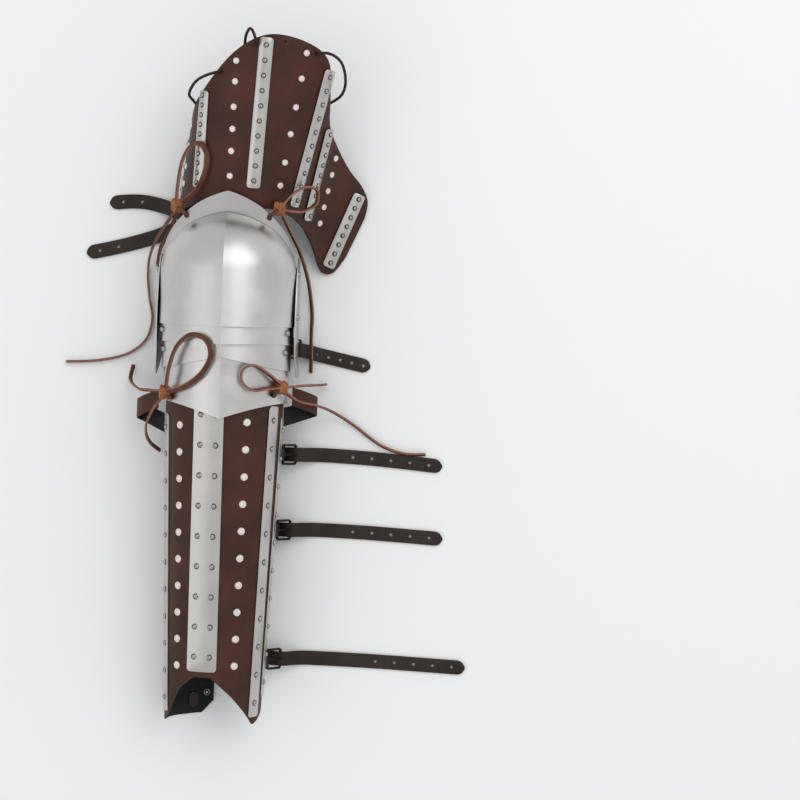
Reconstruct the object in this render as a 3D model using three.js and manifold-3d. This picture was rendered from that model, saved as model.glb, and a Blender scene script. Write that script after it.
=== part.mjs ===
// A leg harness for one leg, lying on its back: a splinted leather thigh guard, an articulated steel knee
// and a splinted leather greave, laced together with leather thongs. Millimetres, +Z up, +Y towards the
// thigh. Lengths along Y are counted from the knee's axis, and the whole is then moved so that the origin
// lies on the floor under the middle of the knee strap.
import * as THREE from 'three';
import Module from 'manifold-3d';

const wasm = await Module();
wasm.setup();

const RAD = Math.PI / 180;

// Sheet stock, rivets and running gaps
const steel = 1.4;
const leather = 3;
const seatGap = 0.3;
const plateGap = 0.8;
const rivetRadius = 3.3;
const rivetHeight = 2.4;
const pinRadius = 2.3;
const pinHoleRadius = 3.1;
const pinHeadRadius = 4.2;
const pinHeadHeight = 2.4;
const laceHoleRadius = 3.4;

// Knee plates
const kneeAxisZ = 75;
const kneeCentreX = 3;
const copHalfWidth = 79;
const copRise = 75;
const copLength = 66;
const copUpperAngle = 63;
const keelShift = 12;
const wallDrop = 11;
const earRadius = 9;
const upperLameFlare = 27;
const upperLameFlareAngle = 25;
const upperLameShare = 0.86;
const upperLameOverlapAngle = 19;
const creaseAngle = 1.3;
const firstPivot = 50;
const pivotPitch = 22.5;
const lameOverlap = 11;
const lameFallRadius = 75;
const layerStep = steel + plateGap;

// Wings on both sides of the cop
const wingTop = 22;
const wingLength = 144;
const wingHalfHeight = 34;
const wingDrop = 16;
const wingStraight = 80;
const wingFlare = 8;

// Straps and their buckles
const strapWidth = 17;
const strapThickness = 2.6;
const strapTip = 9;
const strapHoleRadius = 1.8;
const strapHolePitch = 23;
const greaveStrapFree = 176;
const kneeStrapBehind = 68;
const kneeStrapYaw = -11.8;
const kneeStrapFree = 88;
const thighStrapWidth = 17;
const buckleBar = 2.6;
const buckleSide = 1.4;
const buckleReach = 19.8;
const buckleTilt = 45;
const buckleHangZ = 27;
const tabThickness = 2;
const tabWidth = 14;
const sideTabWidth = 22;

// Greave
const greaveTopY = -130;
const greaveLength = 395;
const greaveNotch = 59;
const greaveHeelShort = 28;
const greaveInKnee = 1.8;
const greaveTopHalfWidth = copHalfWidth - 3 * layerStep - steel - greaveInKnee;
const greaveTaper = 13.1;
const greaveBottomHalfWidth = greaveTopHalfWidth - greaveTaper;
const greaveTopHalfDepth = 63.5;
const greaveBottomHalfDepth = 48.5;
const greaveTopX = 2.8;
const greaveBottomX = -0.6;
const greaveLeftEdge = -176;
const greaveRightEdge = 100;
const greaveBackZ = strapThickness + seatGap;
const frontSplintWidth = 35;
const sideSplintWidth = 17;
const rearSplintWidth = 15;

// Thigh guard
const thighWidth = 200;
const thighLength = 200;
const thighKneeReach = 70;
const thighKneeShare = 0.35;
const thighRise = 150;
const thighSplintWidth = 16;
const thighSplintCrown = 2.2;

// Thongs
const thongDiameter = 4.6;
const thongSides = 8;
const knotRadius = 7.5;

const lerp = (a, b, t) => a + (b - a) * t;
const clamp = (t, low = 0, high = 1) => Math.min(high, Math.max(low, t));
const ease = (t) => clamp(t) ** 2 * (3 - 2 * clamp(t));
const vec = (x, y, z) => new THREE.Vector3(x, y, z);

// Solids

const toSolid = (vertices, triangles) => new wasm.Manifold(new wasm.Mesh({
  numProp: 3,
  vertProperties: new Float32Array(vertices),
  triVerts: new Uint32Array(triangles),
}));

// A sheet of even thickness under a grid of outer points, closed round its rim. A row runs along one
// edge, and the next row lies so that the way to it, crossed with the way along the row, points out.
function sheet(grid, thickness) {
  const rows = grid.length;
  const columns = grid[0].length;
  const vertices = [];
  const triangles = [];
  const at = (i, j) => grid[clamp(i, 0, rows - 1)][clamp(j, 0, columns - 1)];
  grid.forEach((line) => line.forEach((p) => vertices.push(p.x, p.y, p.z)));
  for (let i = 0; i < rows; i += 1) {
    for (let j = 0; j < columns; j += 1) {
      const alongRow = at(i, j + 1).clone().sub(at(i, j - 1));
      const toNextRow = at(i + 1, j).clone().sub(at(i - 1, j));
      const normal = toNextRow.cross(alongRow).normalize();
      const p = at(i, j).clone().addScaledVector(normal, -thickness);
      vertices.push(p.x, p.y, p.z);
    }
  }
  const inner = rows * columns;
  const id = (i, j) => i * columns + j;
  const quad = (a, b, c, d) => triangles.push(a, b, c, a, c, d);
  for (let i = 0; i < rows - 1; i += 1) {
    for (let j = 0; j < columns - 1; j += 1) {
      const [a, b, c, d] = [id(i, j), id(i + 1, j), id(i + 1, j + 1), id(i, j + 1)];
      quad(a, b, c, d);
      quad(inner + a, inner + d, inner + c, inner + b);
    }
  }
  const rim = [];
  for (let j = 0; j < columns - 1; j += 1) rim.push(id(0, j));
  for (let i = 0; i < rows - 1; i += 1) rim.push(id(i, columns - 1));
  for (let j = columns - 1; j > 0; j -= 1) rim.push(id(rows - 1, j));
  for (let i = rows - 1; i > 0; i -= 1) rim.push(id(i, 0));
  rim.forEach((a, k) => {
    const b = rim[(k + 1) % rim.length];
    quad(a, b, inner + b, inner + a);
  });
  return toSolid(vertices, triangles);
}

// A post of equal-sided rings stacked along a direction
function post(foot, direction, rings, sides) {
  const axis = direction.clone().normalize();
  const aside = Math.abs(axis.z) < 0.9 ? vec(0, 0, 1) : vec(1, 0, 0);
  const side = aside.cross(axis).normalize();
  const up = axis.clone().cross(side);
  const vertices = [];
  const triangles = [];
  rings.forEach(({ height, radius }) => {
    for (let k = 0; k < sides; k += 1) {
      const turn = (2 * Math.PI * k) / sides;
      const p = foot.clone().addScaledVector(axis, height);
      p.addScaledVector(side, radius * Math.cos(turn)).addScaledVector(up, radius * Math.sin(turn));
      vertices.push(p.x, p.y, p.z);
    }
  });
  for (let r = 0; r < rings.length - 1; r += 1) {
    for (let k = 0; k < sides; k += 1) {
      const a = r * sides + k;
      const b = r * sides + ((k + 1) % sides);
      triangles.push(a, b, b + sides, a, b + sides, a + sides);
    }
  }
  const top = (rings.length - 1) * sides;
  for (let k = 1; k < sides - 1; k += 1) {
    triangles.push(top, top + k, top + k + 1);
    triangles.push(0, k + 1, k);
  }
  return toSolid(vertices, triangles);
}

// A low cone, for the head of a rivet
function spike(foot, direction, radius, height, sides) {
  const axis = direction.clone().normalize();
  const side = vec(1, 0, 0).cross(axis).normalize();
  const up = axis.clone().cross(side);
  const tip = foot.clone().addScaledVector(axis, height);
  const vertices = [tip.x, tip.y, tip.z];
  const triangles = [];
  for (let k = 0; k < sides; k += 1) {
    const turn = (2 * Math.PI * k) / sides;
    const p = foot.clone().addScaledVector(side, radius * Math.cos(turn)).addScaledVector(up, radius * Math.sin(turn));
    vertices.push(p.x, p.y, p.z);
    triangles.push(0, 1 + k, 1 + ((k + 1) % sides));
    if (k > 1) triangles.push(1, 1 + k, k);
  }
  return toSolid(vertices, triangles);
}

const rivet = (place, normal) => spike(place.clone().addScaledVector(normal, -steel / 2), normal,
  rivetRadius * 1.25, steel / 2 + rivetHeight * 1.25, 5);

const hole = (place, normal, radius, reach) => post(place.clone().addScaledVector(normal, -reach), normal, [
  { height: 0, radius },
  { height: 2 * reach, radius },
], 6);

const joined = (solids) => solids.slice(1).reduce((sum, solid) => sum.add(solid), solids[0]);
const pierced = (solid, cutters) => cutters.reduce((rest, cutter) => rest.subtract(cutter), solid);

// A closed three.js geometry as a solid, with its shared corners merged
function solidOf(geometry) {
  const places = geometry.getAttribute('position');
  const count = geometry.index ? geometry.index.count : places.count;
  const known = new Map();
  const vertices = [];
  const corners = [];
  for (let k = 0; k < count; k += 1) {
    const i = geometry.index ? geometry.index.getX(k) : k;
    const p = [places.getX(i), places.getY(i), places.getZ(i)];
    const key = p.map((value) => Math.round(value * 1e4)).join(' ');
    if (!known.has(key)) {
      known.set(key, vertices.length / 3);
      vertices.push(...p);
    }
    corners.push(known.get(key));
  }
  const triangles = [];
  for (let k = 0; k < corners.length; k += 3) {
    const [a, b, c] = corners.slice(k, k + 3);
    if (a !== b && b !== c && c !== a) triangles.push(a, b, c);
  }
  return toSolid(vertices, triangles);
}

function geometryOf(solid) {
  const mesh = solid.getMesh();
  const geometry = new THREE.BufferGeometry();
  geometry.setAttribute('position', new THREE.BufferAttribute(new Float32Array(mesh.vertProperties), 3));
  geometry.setIndex(new THREE.BufferAttribute(new Uint32Array(mesh.triVerts), 1));
  geometry.computeVertexNormals();
  return geometry;
}

// Splints

const surfaceStep = 0.004;

// A place on a surface, with its outward normal and its sideways direction. v runs lengthways.
function frameOn(surface, u, v) {
  const place = surface(u, v);
  const along = surface(u, v + surfaceStep).sub(surface(u, v - surfaceStep)).normalize();
  const across = surface(u + surfaceStep, v).sub(surface(u - surfaceStep, v)).normalize();
  const normal = across.clone().cross(along).normalize();
  return { place, normal, side: along.clone().cross(normal).normalize() };
}

// How far a surface has fallen away under its tangent plane at a sideways distance
function bend(surface, u, v, frame, distance) {
  const reach = surface(u + surfaceStep, v).sub(surface(u - surfaceStep, v)).length() / (2 * surfaceStep);
  const fallen = surface(u + distance / reach, v).sub(frame.place).dot(frame.normal);
  return Math.max(0, -fallen);
}

// A riveted steel splint on a surface, along a line of it. Its crown stands it proud of the leather.
function splint(surface, { u, from, to, width, strips, crown = 0, lift = seatGap, rivets, columns = [0] }) {
  const placeAt = (v, share) => {
    const frame = frameOn(surface, u(v), v);
    const sideways = (width / 2) * share;
    const height = lift + steel + crown * (1 - share * share) - bend(surface, u(v), v, frame, sideways);
    const place = frame.place.clone().addScaledVector(frame.side, sideways).addScaledVector(frame.normal, height);
    return { place, normal: frame.normal };
  };
  const shares = Array.from({ length: strips + 1 }, (_, j) => 1 - (2 * j) / strips);
  const grid = [from, to].map((v) => shares.map((share) => placeAt(v, share).place));
  const heads = [];
  for (let k = 0; k < rivets; k += 1) {
    const v = lerp(from, to, (k + 0.5) / rivets);
    columns.forEach((share) => {
      const { place, normal } = placeAt(v, share);
      heads.push(rivet(place, normal));
    });
  }
  return joined([sheet(grid, steel), ...heads]);
}

// Straps

const alongLeg = [0, 1, 0];

// A flat strap through the middles of its route, with its width direction at each
function ribbon(route, width, thickness, { tip = 0, holes = [] } = {}) {
  const middles = route.map((point) => vec(...point.at));
  const frames = middles.map((place, i) => {
    const ahead = middles[Math.min(i + 1, middles.length - 1)];
    const behind = middles[Math.max(i - 1, 0)];
    const tangent = ahead.clone().sub(behind).normalize();
    const wide = vec(...route[i].wide);
    return { place, tangent, normal: tangent.clone().cross(wide).normalize(), wide, narrow: 1 };
  });
  if (tip > 0) {
    const end = frames[frames.length - 1];
    const point = end.place.clone();
    end.place = point.clone().addScaledVector(end.tangent, -tip);
    frames.push({ ...end, place: point, narrow: 0.2 });
  }
  const vertices = [];
  const triangles = [];
  frames.forEach(({ place, wide, normal, narrow }) => {
    [[-1, -1], [-1, 1], [1, 1], [1, -1]].forEach(([a, b]) => {
      const p = place.clone().addScaledVector(wide, (a * narrow * width) / 2);
      p.addScaledVector(normal, (b * thickness) / 2);
      vertices.push(p.x, p.y, p.z);
    });
  });
  const last = frames.length - 1;
  for (let i = 0; i < last; i += 1) {
    for (let k = 0; k < 4; k += 1) {
      const a = i * 4 + k;
      const b = i * 4 + ((k + 1) % 4);
      triangles.push(a, b + 4, b, a, a + 4, b + 4);
    }
  }
  const e = last * 4;
  triangles.push(0, 1, 2, 0, 2, 3, e, e + 2, e + 1, e, e + 3, e + 2);
  const end = frames[last];
  const cutters = holes.map((distance) => hole(
    end.place.clone().addScaledVector(end.tangent, -distance), end.normal, strapHoleRadius, thickness));
  return pierced(toSolid(vertices, triangles), cutters);
}

const strapHoles = (first, count) => Array.from({ length: count }, (_, k) => first + k * strapHolePitch);

// The set of a strap's buckle, seen along the leg: its inner bar hangs from a tab, its outer bar lies lower
// and further out, and the strap comes up through the frame and over the outer bar. Lengths are from the
// inner bar.
const outerBar = {
  out: buckleReach * Math.cos(buckleTilt * RAD),
  down: buckleReach * Math.sin(buckleTilt * RAD),
};
const strapOverBar = buckleHangZ - outerBar.down + buckleBar * 0.71 + strapThickness / 2 + 2 * seatGap;
const strapClimb = [
  { out: -28, rise: 0 },
  { out: -15, rise: 0.03 },
  { out: -6, rise: 0.3 },
  { out: 1, rise: 0.6 },
  { out: 8, rise: 0.9 },
  { out: outerBar.out + 1, rise: 1 },
  { out: outerBar.out + 7, rise: 0.94 },
  { out: outerBar.out + 16, rise: 0.45 },
  { out: outerBar.out + 24, rise: 0.12 },
  { out: outerBar.out + 34, rise: 0 },
];
const strapLowZ = strapThickness / 2;

// The frame of a buckle with its prong, its inner bar at a place, turned about Z by a yaw
function buckle(at, yaw) {
  const halfWidth = strapWidth / 2 + buckleSide + buckleBar;
  const half = buckleBar / 2;
  const frame = new THREE.Shape();
  frame.moveTo(-half, -halfWidth + half);
  frame.lineTo(half, -halfWidth);
  frame.lineTo(buckleReach - half, -halfWidth);
  frame.lineTo(buckleReach + half, -halfWidth + 2 * half);
  frame.lineTo(buckleReach + half, halfWidth - 2 * half);
  frame.lineTo(buckleReach - half, halfWidth);
  frame.lineTo(half, halfWidth);
  frame.lineTo(-half, halfWidth - half);
  frame.closePath();
  const inside = halfWidth - buckleBar;
  const window = new THREE.Path();
  window.moveTo(half, -inside);
  window.lineTo(half, inside);
  window.lineTo(buckleReach - half, inside);
  window.lineTo(buckleReach - half, -inside);
  window.closePath();
  frame.holes.push(window);
  const geometry = new THREE.ExtrudeGeometry(frame, { depth: buckleBar, bevelEnabled: false });
  geometry.translate(0, 0, -half);
  geometry.rotateY(buckleTilt * RAD);
  const prongFoot = vec(0, 0, 0);
  const prongEnd = vec(outerBar.out + 2.5, 0, strapOverBar + strapThickness / 2 + 1 - buckleHangZ + seatGap);
  const reach = prongEnd.clone().sub(prongFoot);
  const prong = post(prongFoot, reach, [
    { height: 0, radius: 1.1 },
    { height: reach.length(), radius: 0.9 },
  ], 6);
  const turned = solidOf(geometry).add(prong);
  return turned.rotate([0, 0, yaw]).translate([at.x, at.y, at.z]);
}

// A tab from a riveted end down to the buckle's inner bar
function hangingTab(riveted, barAt, wide, slack = 0) {
  const end = barAt.clone();
  end.z += buckleBar * 0.71 + 3 * seatGap + slack;
  const shoulder = vec(riveted.x, lerp(riveted.y, end.y, 0.3), lerp(riveted.z, end.z, 0.5));
  const route = [
    { at: riveted.toArray(), wide: alongLeg },
    { at: shoulder.toArray(), wide: alongLeg },
    { at: end.toArray(), wide },
  ];
  return ribbon(route, tabWidth, tabThickness);
}

// Knee plates

// A point of a plate's half-section: from the keel over to the side and down its wall
function sectionPoint(share, halfWidth, rise) {
  const wallShare = 0.9;
  const out = Math.abs(share);
  const start = Math.asin(keelShift / (halfWidth + keelShift));
  const angle = lerp(start, Math.PI / 2, Math.min(1, out / wallShare));
  const x = (halfWidth + keelShift) * Math.sin(angle) - keelShift;
  const height = (rise / Math.cos(start)) * Math.cos(angle);
  const down = out > wallShare ? (-wallDrop * (out - wallShare)) / (1 - wallShare) : 0;
  return { x: kneeCentreX + Math.sign(share) * x, height: height + down };
}

const sectionStrips = 18;
const sectionAt = (halfWidth, rise, reach = 1) => Array.from({ length: sectionStrips + 1 },
  (_, j) => sectionPoint(((2 * j) / sectionStrips - 1) * reach, halfWidth, rise));

// A section point turned about the knee's axis, with an ear of least radius at its side
function turned(point, angle) {
  const radius = Math.max(point.height, earRadius);
  return vec(point.x, radius * Math.sin(angle * RAD),
    kneeAxisZ + point.height - radius + radius * Math.cos(angle * RAD));
}

const pinHolesAt = (y) => [-1, 1].map((side) => hole(
  vec(kneeCentreX + side * copHalfWidth, y, kneeAxisZ), vec(side, 0, 0), pinHoleRadius, 9));

// A pivot rivet: a domed head on a plate and a shank through the plates inside it
function pin(side, y, outerX, depth) {
  const out = vec(side, 0, 0);
  const foot = vec(kneeCentreX + side * outerX, y, kneeAxisZ);
  return post(foot.clone().addScaledVector(out, -depth), out, [
    { height: 0, radius: pinRadius },
    { height: depth - steel / 2, radius: pinRadius },
    { height: depth - steel / 2, radius: pinHeadRadius },
    { height: depth + pinHeadHeight / 2, radius: pinHeadRadius },
    { height: depth + pinHeadHeight, radius: pinHeadRadius / 2 },
  ], 6);
}

function copSolid() {
  const section = sectionAt(copHalfWidth, copRise);
  const bands = 6;
  const grid = [];
  for (let i = 0; i < bands; i += 1) {
    grid.push(section.map((p) => turned(p, lerp(copUpperAngle, 0, i / bands))));
  }
  [0, 1].forEach((share) => {
    const edge = (p) => -share * copLength * (0.925 + 0.075 * clamp(p.height / copRise));
    grid.push(section.map((p) => vec(p.x, edge(p), kneeAxisZ + p.height)));
  });
  return pierced(sheet(grid, steel), [...pinHolesAt(0), ...pinHolesAt(-firstPivot)]);
}

const upperLaceHoles = [{ x: -45, y: 62 }, { x: 50, y: 62 }];

function upperLameSolid() {
  const halfWidth = copHalfWidth - layerStep;
  const rise = copRise - layerStep;
  const section = sectionAt(halfWidth, rise, upperLameShare);
  const crease = copUpperAngle + creaseAngle;
  const gable = (p) => 0.6 + 0.4 * (1 - Math.abs(p.x - kneeCentreX) / halfWidth);
  const flare = (p, share) => upperLameFlare * share * gable(p) * clamp(p.height / rise) ** 0.25;
  const grid = [1, 0.5, 0].map((share) => section.map((p) => {
    const run = flare(p, share);
    const lift = Math.sin(upperLameFlareAngle * RAD) * (0.7 + 0.3 * share);
    return turned(p, crease).add(vec(0, run * Math.cos(upperLameFlareAngle * RAD), run * lift));
  }));
  [0.5, 1].forEach((share) => {
    grid.push(section.map((p) => turned(p, crease - upperLameOverlapAngle * share)));
  });
  const ears = [-1, 1].map((side) => {
    const foot = vec(kneeCentreX + side * (halfWidth - steel), 0, kneeAxisZ);
    return post(foot, vec(side, 0, 0), [
      { height: 0, radius: earRadius * 0.86 },
      { height: steel - seatGap, radius: earRadius * 0.86 },
    ], 10);
  });
  const cutters = upperLaceHoles.map(({ x, y }) => hole(
    vec(x, y, kneeAxisZ + rise / 2), vec(0, 0, 1), laceHoleRadius, 40));
  return pierced(joined([sheet(grid, steel), ...ears]), [...pinHolesAt(0), ...cutters]);
}

// Each lame hangs on the pivots of the plate over it, inside it by one layer. Its own pivots' y, how far
// below them its back stays round, its lower edge at the sides and at the keel, and the drop of its rim.
const lames = [
  { name: 'knee_lame_1', round: 17, sideEdge: 83, keelEdge: 86.5, rimDrop: 0 },
  { name: 'knee_lame_2', round: 14, sideEdge: 113, keelEdge: 100, rimDrop: 0 },
  { name: 'knee_lower_plate', round: 18, sideEdge: 150, keelEdge: 170, rimDrop: 3 },
];
const lamePivot = (k) => -(firstPivot + k * pivotPitch);
const fall = (dy) => (-dy * dy) / (2 * lameFallRadius);
const lameDrop = (k) => (k === 0 ? 0 : lameDrop(k - 1) - fall(lames[k - 1].round) + plateGap / 8);
const lowerLaceHoles = [{ x: -55, y: -147 }, { x: 62, y: -141 }];

function lameSolid(k) {
  const { round, sideEdge, keelEdge, rimDrop } = lames[k];
  const halfWidth = copHalfWidth - (k + 1) * layerStep;
  const rise = copRise - (k + 1) * layerStep;
  const section = sectionAt(halfWidth, rise);
  const pivotY = lamePivot(k);
  const grid = [lameOverlap, 0, -round / 2, -round].map((dy) => section.map((p) => vec(
    p.x, pivotY + dy, kneeAxisZ + p.height + fall(dy) - lameDrop(k))));
  grid.push(section.map((p) => {
    const keelward = clamp(1 - Math.abs(p.x - kneeCentreX) / halfWidth) ** 1.3;
    const edge = -lerp(sideEdge, keelEdge, keelward);
    const rimZ = kneeAxisZ + p.height + fall(round) - lameDrop(k) - rimDrop;
    return vec(p.x, Math.min(edge, pivotY - round - 1), rimZ);
  }));
  const solid = pierced(sheet(grid, steel), pinHolesAt(pivotY));
  if (k === lames.length - 1) {
    return pierced(solid, lowerLaceHoles.map(({ x, y }) => hole(
      vec(x, y, kneeAxisZ + rise / 2), vec(0, 0, 1), laceHoleRadius, 40)));
  }
  const pins = [-1, 1].map((side) => pin(side, lamePivot(k + 1), halfWidth, layerStep + 2 * steel));
  return joined([solid, ...pins]);
}

// How far a wing's inner face stands out from the knee's middle at a place along it
function wingInnerX(y, t) {
  const flare = wingFlare * ease((wingStraight - (wingTop + wingLength + y)) / wingStraight);
  return copHalfWidth + seatGap + flare * (1 - 0.4 * t);
}

// A wing is a leaf-shaped plate against the cop's side, which flares out below
function wingSolid(side) {
  const rows = 8;
  const grid = [];
  for (let i = 0; i < rows; i += 1) {
    const share = lerp(0.03, 0.97, i / (rows - 1));
    const y = wingTop - wingLength * share;
    const half = wingHalfHeight * Math.sqrt(Math.max(0.02, 1 - (2 * share - 1) ** 2));
    const line = [-1, -0.4, 0.4, 1].map((t) => vec(
      kneeCentreX + side * (wingInnerX(y, t) + steel), y, kneeAxisZ - wingDrop + half * t));
    grid.push(side > 0 ? line.reverse() : line);
  }
  const head = copHalfWidth + seatGap + steel;
  const depth = head - (copHalfWidth - layerStep - 2 * steel);
  const pins = [0, -firstPivot].map((y) => pin(side, y, head, depth));
  return joined([sheet(grid, steel), ...pins]);
}

// The knee strap hangs inside the left wing, runs behind the knee and comes up through its buckle, which
// hangs inside the right wing
const kneeStrapWide = [Math.sin(-kneeStrapYaw * RAD), Math.cos(kneeStrapYaw * RAD), 0];
const kneeStrapY = (x) => -kneeStrapBehind + x * Math.tan(kneeStrapYaw * RAD);
const kneeStrapLeftX = kneeCentreX - wingInnerX(-firstPivot, 0) + seatGap + strapThickness / 2;
const kneeBuckleX = copHalfWidth - 9;

function kneeStrapSolid() {
  const cos = Math.cos(kneeStrapYaw * RAD);
  const on = (x, z, wide = kneeStrapWide) => ({ at: [x, kneeStrapY(x), z], wide });
  const left = kneeStrapLeftX;
  const climb = strapOverBar - strapLowZ;
  const route = [
    on(left, kneeAxisZ - wingDrop - 5, alongLeg),
    on(left, 28, alongLeg),
    on(left + 2.5, 14),
    on(left + 9, 4.5),
    on(left + 20, strapLowZ),
    on(0, strapLowZ),
    ...strapClimb.map(({ out, rise }) => on(kneeBuckleX + out * cos, strapLowZ + rise * climb)),
    on(kneeBuckleX + (outerBar.out + kneeStrapFree) * cos, strapLowZ),
  ];
  return ribbon(route, strapWidth, strapThickness, { tip: strapTip, holes: strapHoles(14, 5).map((d) => d * 0.62) });
}

const kneeBuckleAt = vec(kneeBuckleX, kneeStrapY(kneeBuckleX), buckleHangZ);

function kneeTabSolid() {
  const z = kneeAxisZ - wingDrop - 6;
  const y = kneeBuckleAt.y;
  const x = kneeCentreX + wingInnerX(y + tabWidth / 2, 0) - seatGap - tabThickness / 2;
  return hangingTab(vec(x, y, z), kneeBuckleAt, kneeStrapWide, 2 * seatGap);
}

// Greave

const greaveShare = (y) => (greaveTopY - y) / greaveLength;
const greaveHalfWidth = (y) => lerp(greaveTopHalfWidth, greaveBottomHalfWidth, greaveShare(y));
const greaveHalfDepth = (y) => lerp(greaveTopHalfDepth, greaveBottomHalfDepth, greaveShare(y));
const greaveX = (y) => lerp(greaveTopX, greaveBottomX, greaveShare(y));

const greavePoint = (angle, y) => vec(greaveX(y) + greaveHalfWidth(y) * Math.sin(angle * RAD), y,
  greaveBackZ + greaveHalfDepth(y) * (1 + Math.cos(angle * RAD)));

// Lower edge of the greave: a notch over the instep between two tips, and a shorter heel. How far each
// place stands above the tips, as shares of the notch and of the heel.
const greaveEdge = [
  { angle: -180, notch: 0, heel: 0.7 },
  { angle: -174, notch: 0, heel: 0.5 },
  { angle: -162, notch: 0, heel: 0.04 },
  { angle: -140, notch: 0, heel: 0 },
  { angle: -85, notch: 0, heel: 0 },
  { angle: -62, notch: 0.2, heel: 0 },
  { angle: -40, notch: 0.72, heel: 0 },
  { angle: -20, notch: 0.97, heel: 0 },
  { angle: 0, notch: 0.97, heel: 0 },
  { angle: 25, notch: 0.6, heel: 0 },
  { angle: 62, notch: 0, heel: 0 },
  { angle: 80, notch: 0, heel: 0.3 },
  { angle: 110, notch: 0, heel: 1 },
];

function greaveEdgeY(angle) {
  const k = clamp(greaveEdge.findIndex((row) => row.angle > angle), 1, greaveEdge.length - 1);
  const [a, b] = [greaveEdge[k - 1], greaveEdge[k]];
  const t = (angle - a.angle) / (b.angle - a.angle);
  const stand = greaveNotch * lerp(a.notch, b.notch, t) + greaveHeelShort * lerp(a.heel, b.heel, t);
  return greaveTopY - greaveLength + stand;
}

const greaveSurface = (u, v) => greavePoint(u * 100, greaveTopY - greaveLength * (1 - v));

function greaveLeather() {
  const strips = 24;
  const angles = Array.from({ length: strips + 1 }, (_, j) => lerp(greaveLeftEdge, greaveRightEdge, j / strips));
  const grid = [
    angles.map((angle) => greavePoint(angle, greaveTopY)),
    angles.map((angle) => greavePoint(angle, greaveEdgeY(angle))),
  ];
  return sheet(grid, leather);
}

// Splints, with the shares of the greave's length at which they start and end
const pairs = [-0.5, 0.5];
const greaveSplints = [
  { name: 'greave_splint_front', angle: -10, from: 0.046, to: 0.838, width: frontSplintWidth, strips: 4, rivets: 9, columns: pairs },
  { name: 'greave_splint_right', angle: 60, from: 0.06, to: 0.975, width: sideSplintWidth, strips: 2, rivets: 11 },
  { name: 'greave_splint_right_rear', angle: 84, from: 0.09, to: 0.92, width: rearSplintWidth, strips: 2, rivets: 10 },
  { name: 'greave_splint_left', angle: -70, from: 0.09, to: 0.967, width: sideSplintWidth, strips: 2, rivets: 11 },
  { name: 'greave_splint_back', angle: -146, from: 0.09, to: 0.88, width: frontSplintWidth * 0.8, strips: 4, rivets: 8, columns: pairs },
];

// Straps round the greave: where they lie along it, and the free end's length and turn
const greaveStraps = [
  { name: 'upper', share: 0.205, free: 1, turn: -9 },
  { name: 'middle', share: 0.433, free: 1.04, turn: -6 },
  { name: 'lower', share: 0.823, free: 1.26, turn: -6 },
];

function greaveStrapParts({ share, free, turn }) {
  const y = greaveTopY - greaveLength * share;
  const tabX = greaveX(y) + greaveHalfWidth(y) + seatGap + tabThickness / 2;
  const hang = vec(tabX + 0.5, y, buckleHangZ);
  const rivetedZ = greaveBackZ + greaveHalfDepth(y) - 3;
  const climb = strapOverBar - strapLowZ;
  const end = hang.x + outerBar.out + greaveStrapFree * free;
  const route = [
    { at: [greaveX(y) - 18, y, strapLowZ], wide: alongLeg },
    { at: [greaveX(y) + 18, y, strapLowZ], wide: alongLeg },
    ...strapClimb.map(({ out, rise }) => ({ at: [hang.x + out, y, strapLowZ + rise * climb], wide: alongLeg })),
    { at: [lerp(hang.x + outerBar.out + 34, end, 0.4), y + turn * 0.25, strapLowZ], wide: alongLeg },
    { at: [end, y + turn, strapLowZ], wide: alongLeg },
  ];
  return {
    strap: ribbon(route, strapWidth, strapThickness, { tip: strapTip, holes: strapHoles(16, 5) }),
    buckle: buckle(hang, 0),
    tab: hangingTab(vec(tabX, y, rivetedZ), hang, alongLeg),
  };
}

// Folded tabs that tie the lower plate's corners to the greave's sides
const sideTabs = [
  { name: 'side_tab_left', out: -1, y: -178, shift: 28 },
  { name: 'side_tab_right', out: 1, y: -166, shift: 24 },
];
const sideTabFold = [
  { out: 0, along: 0, z: 60 },
  { out: 9, along: 0.12, z: 48 },
  { out: 23, along: 0.33, z: 36 },
  { out: 33, along: 0.48, z: 29 },
  { out: 37, along: 0.55, z: 33 },
  { out: 31, along: 0.7, z: 45 },
  { out: 18, along: 0.89, z: 56 },
  { out: 9, along: 1, z: 61 },
];

function sideTabSolid({ out, y, shift }) {
  const start = greaveHalfWidth(y) + seatGap + tabThickness / 2;
  const route = sideTabFold.map((row) => ({
    at: [greaveX(y) + out * (start + row.out), y + shift * row.along, row.z],
    wide: alongLeg,
  }));
  return ribbon(route, sideTabWidth, tabThickness);
}

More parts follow.
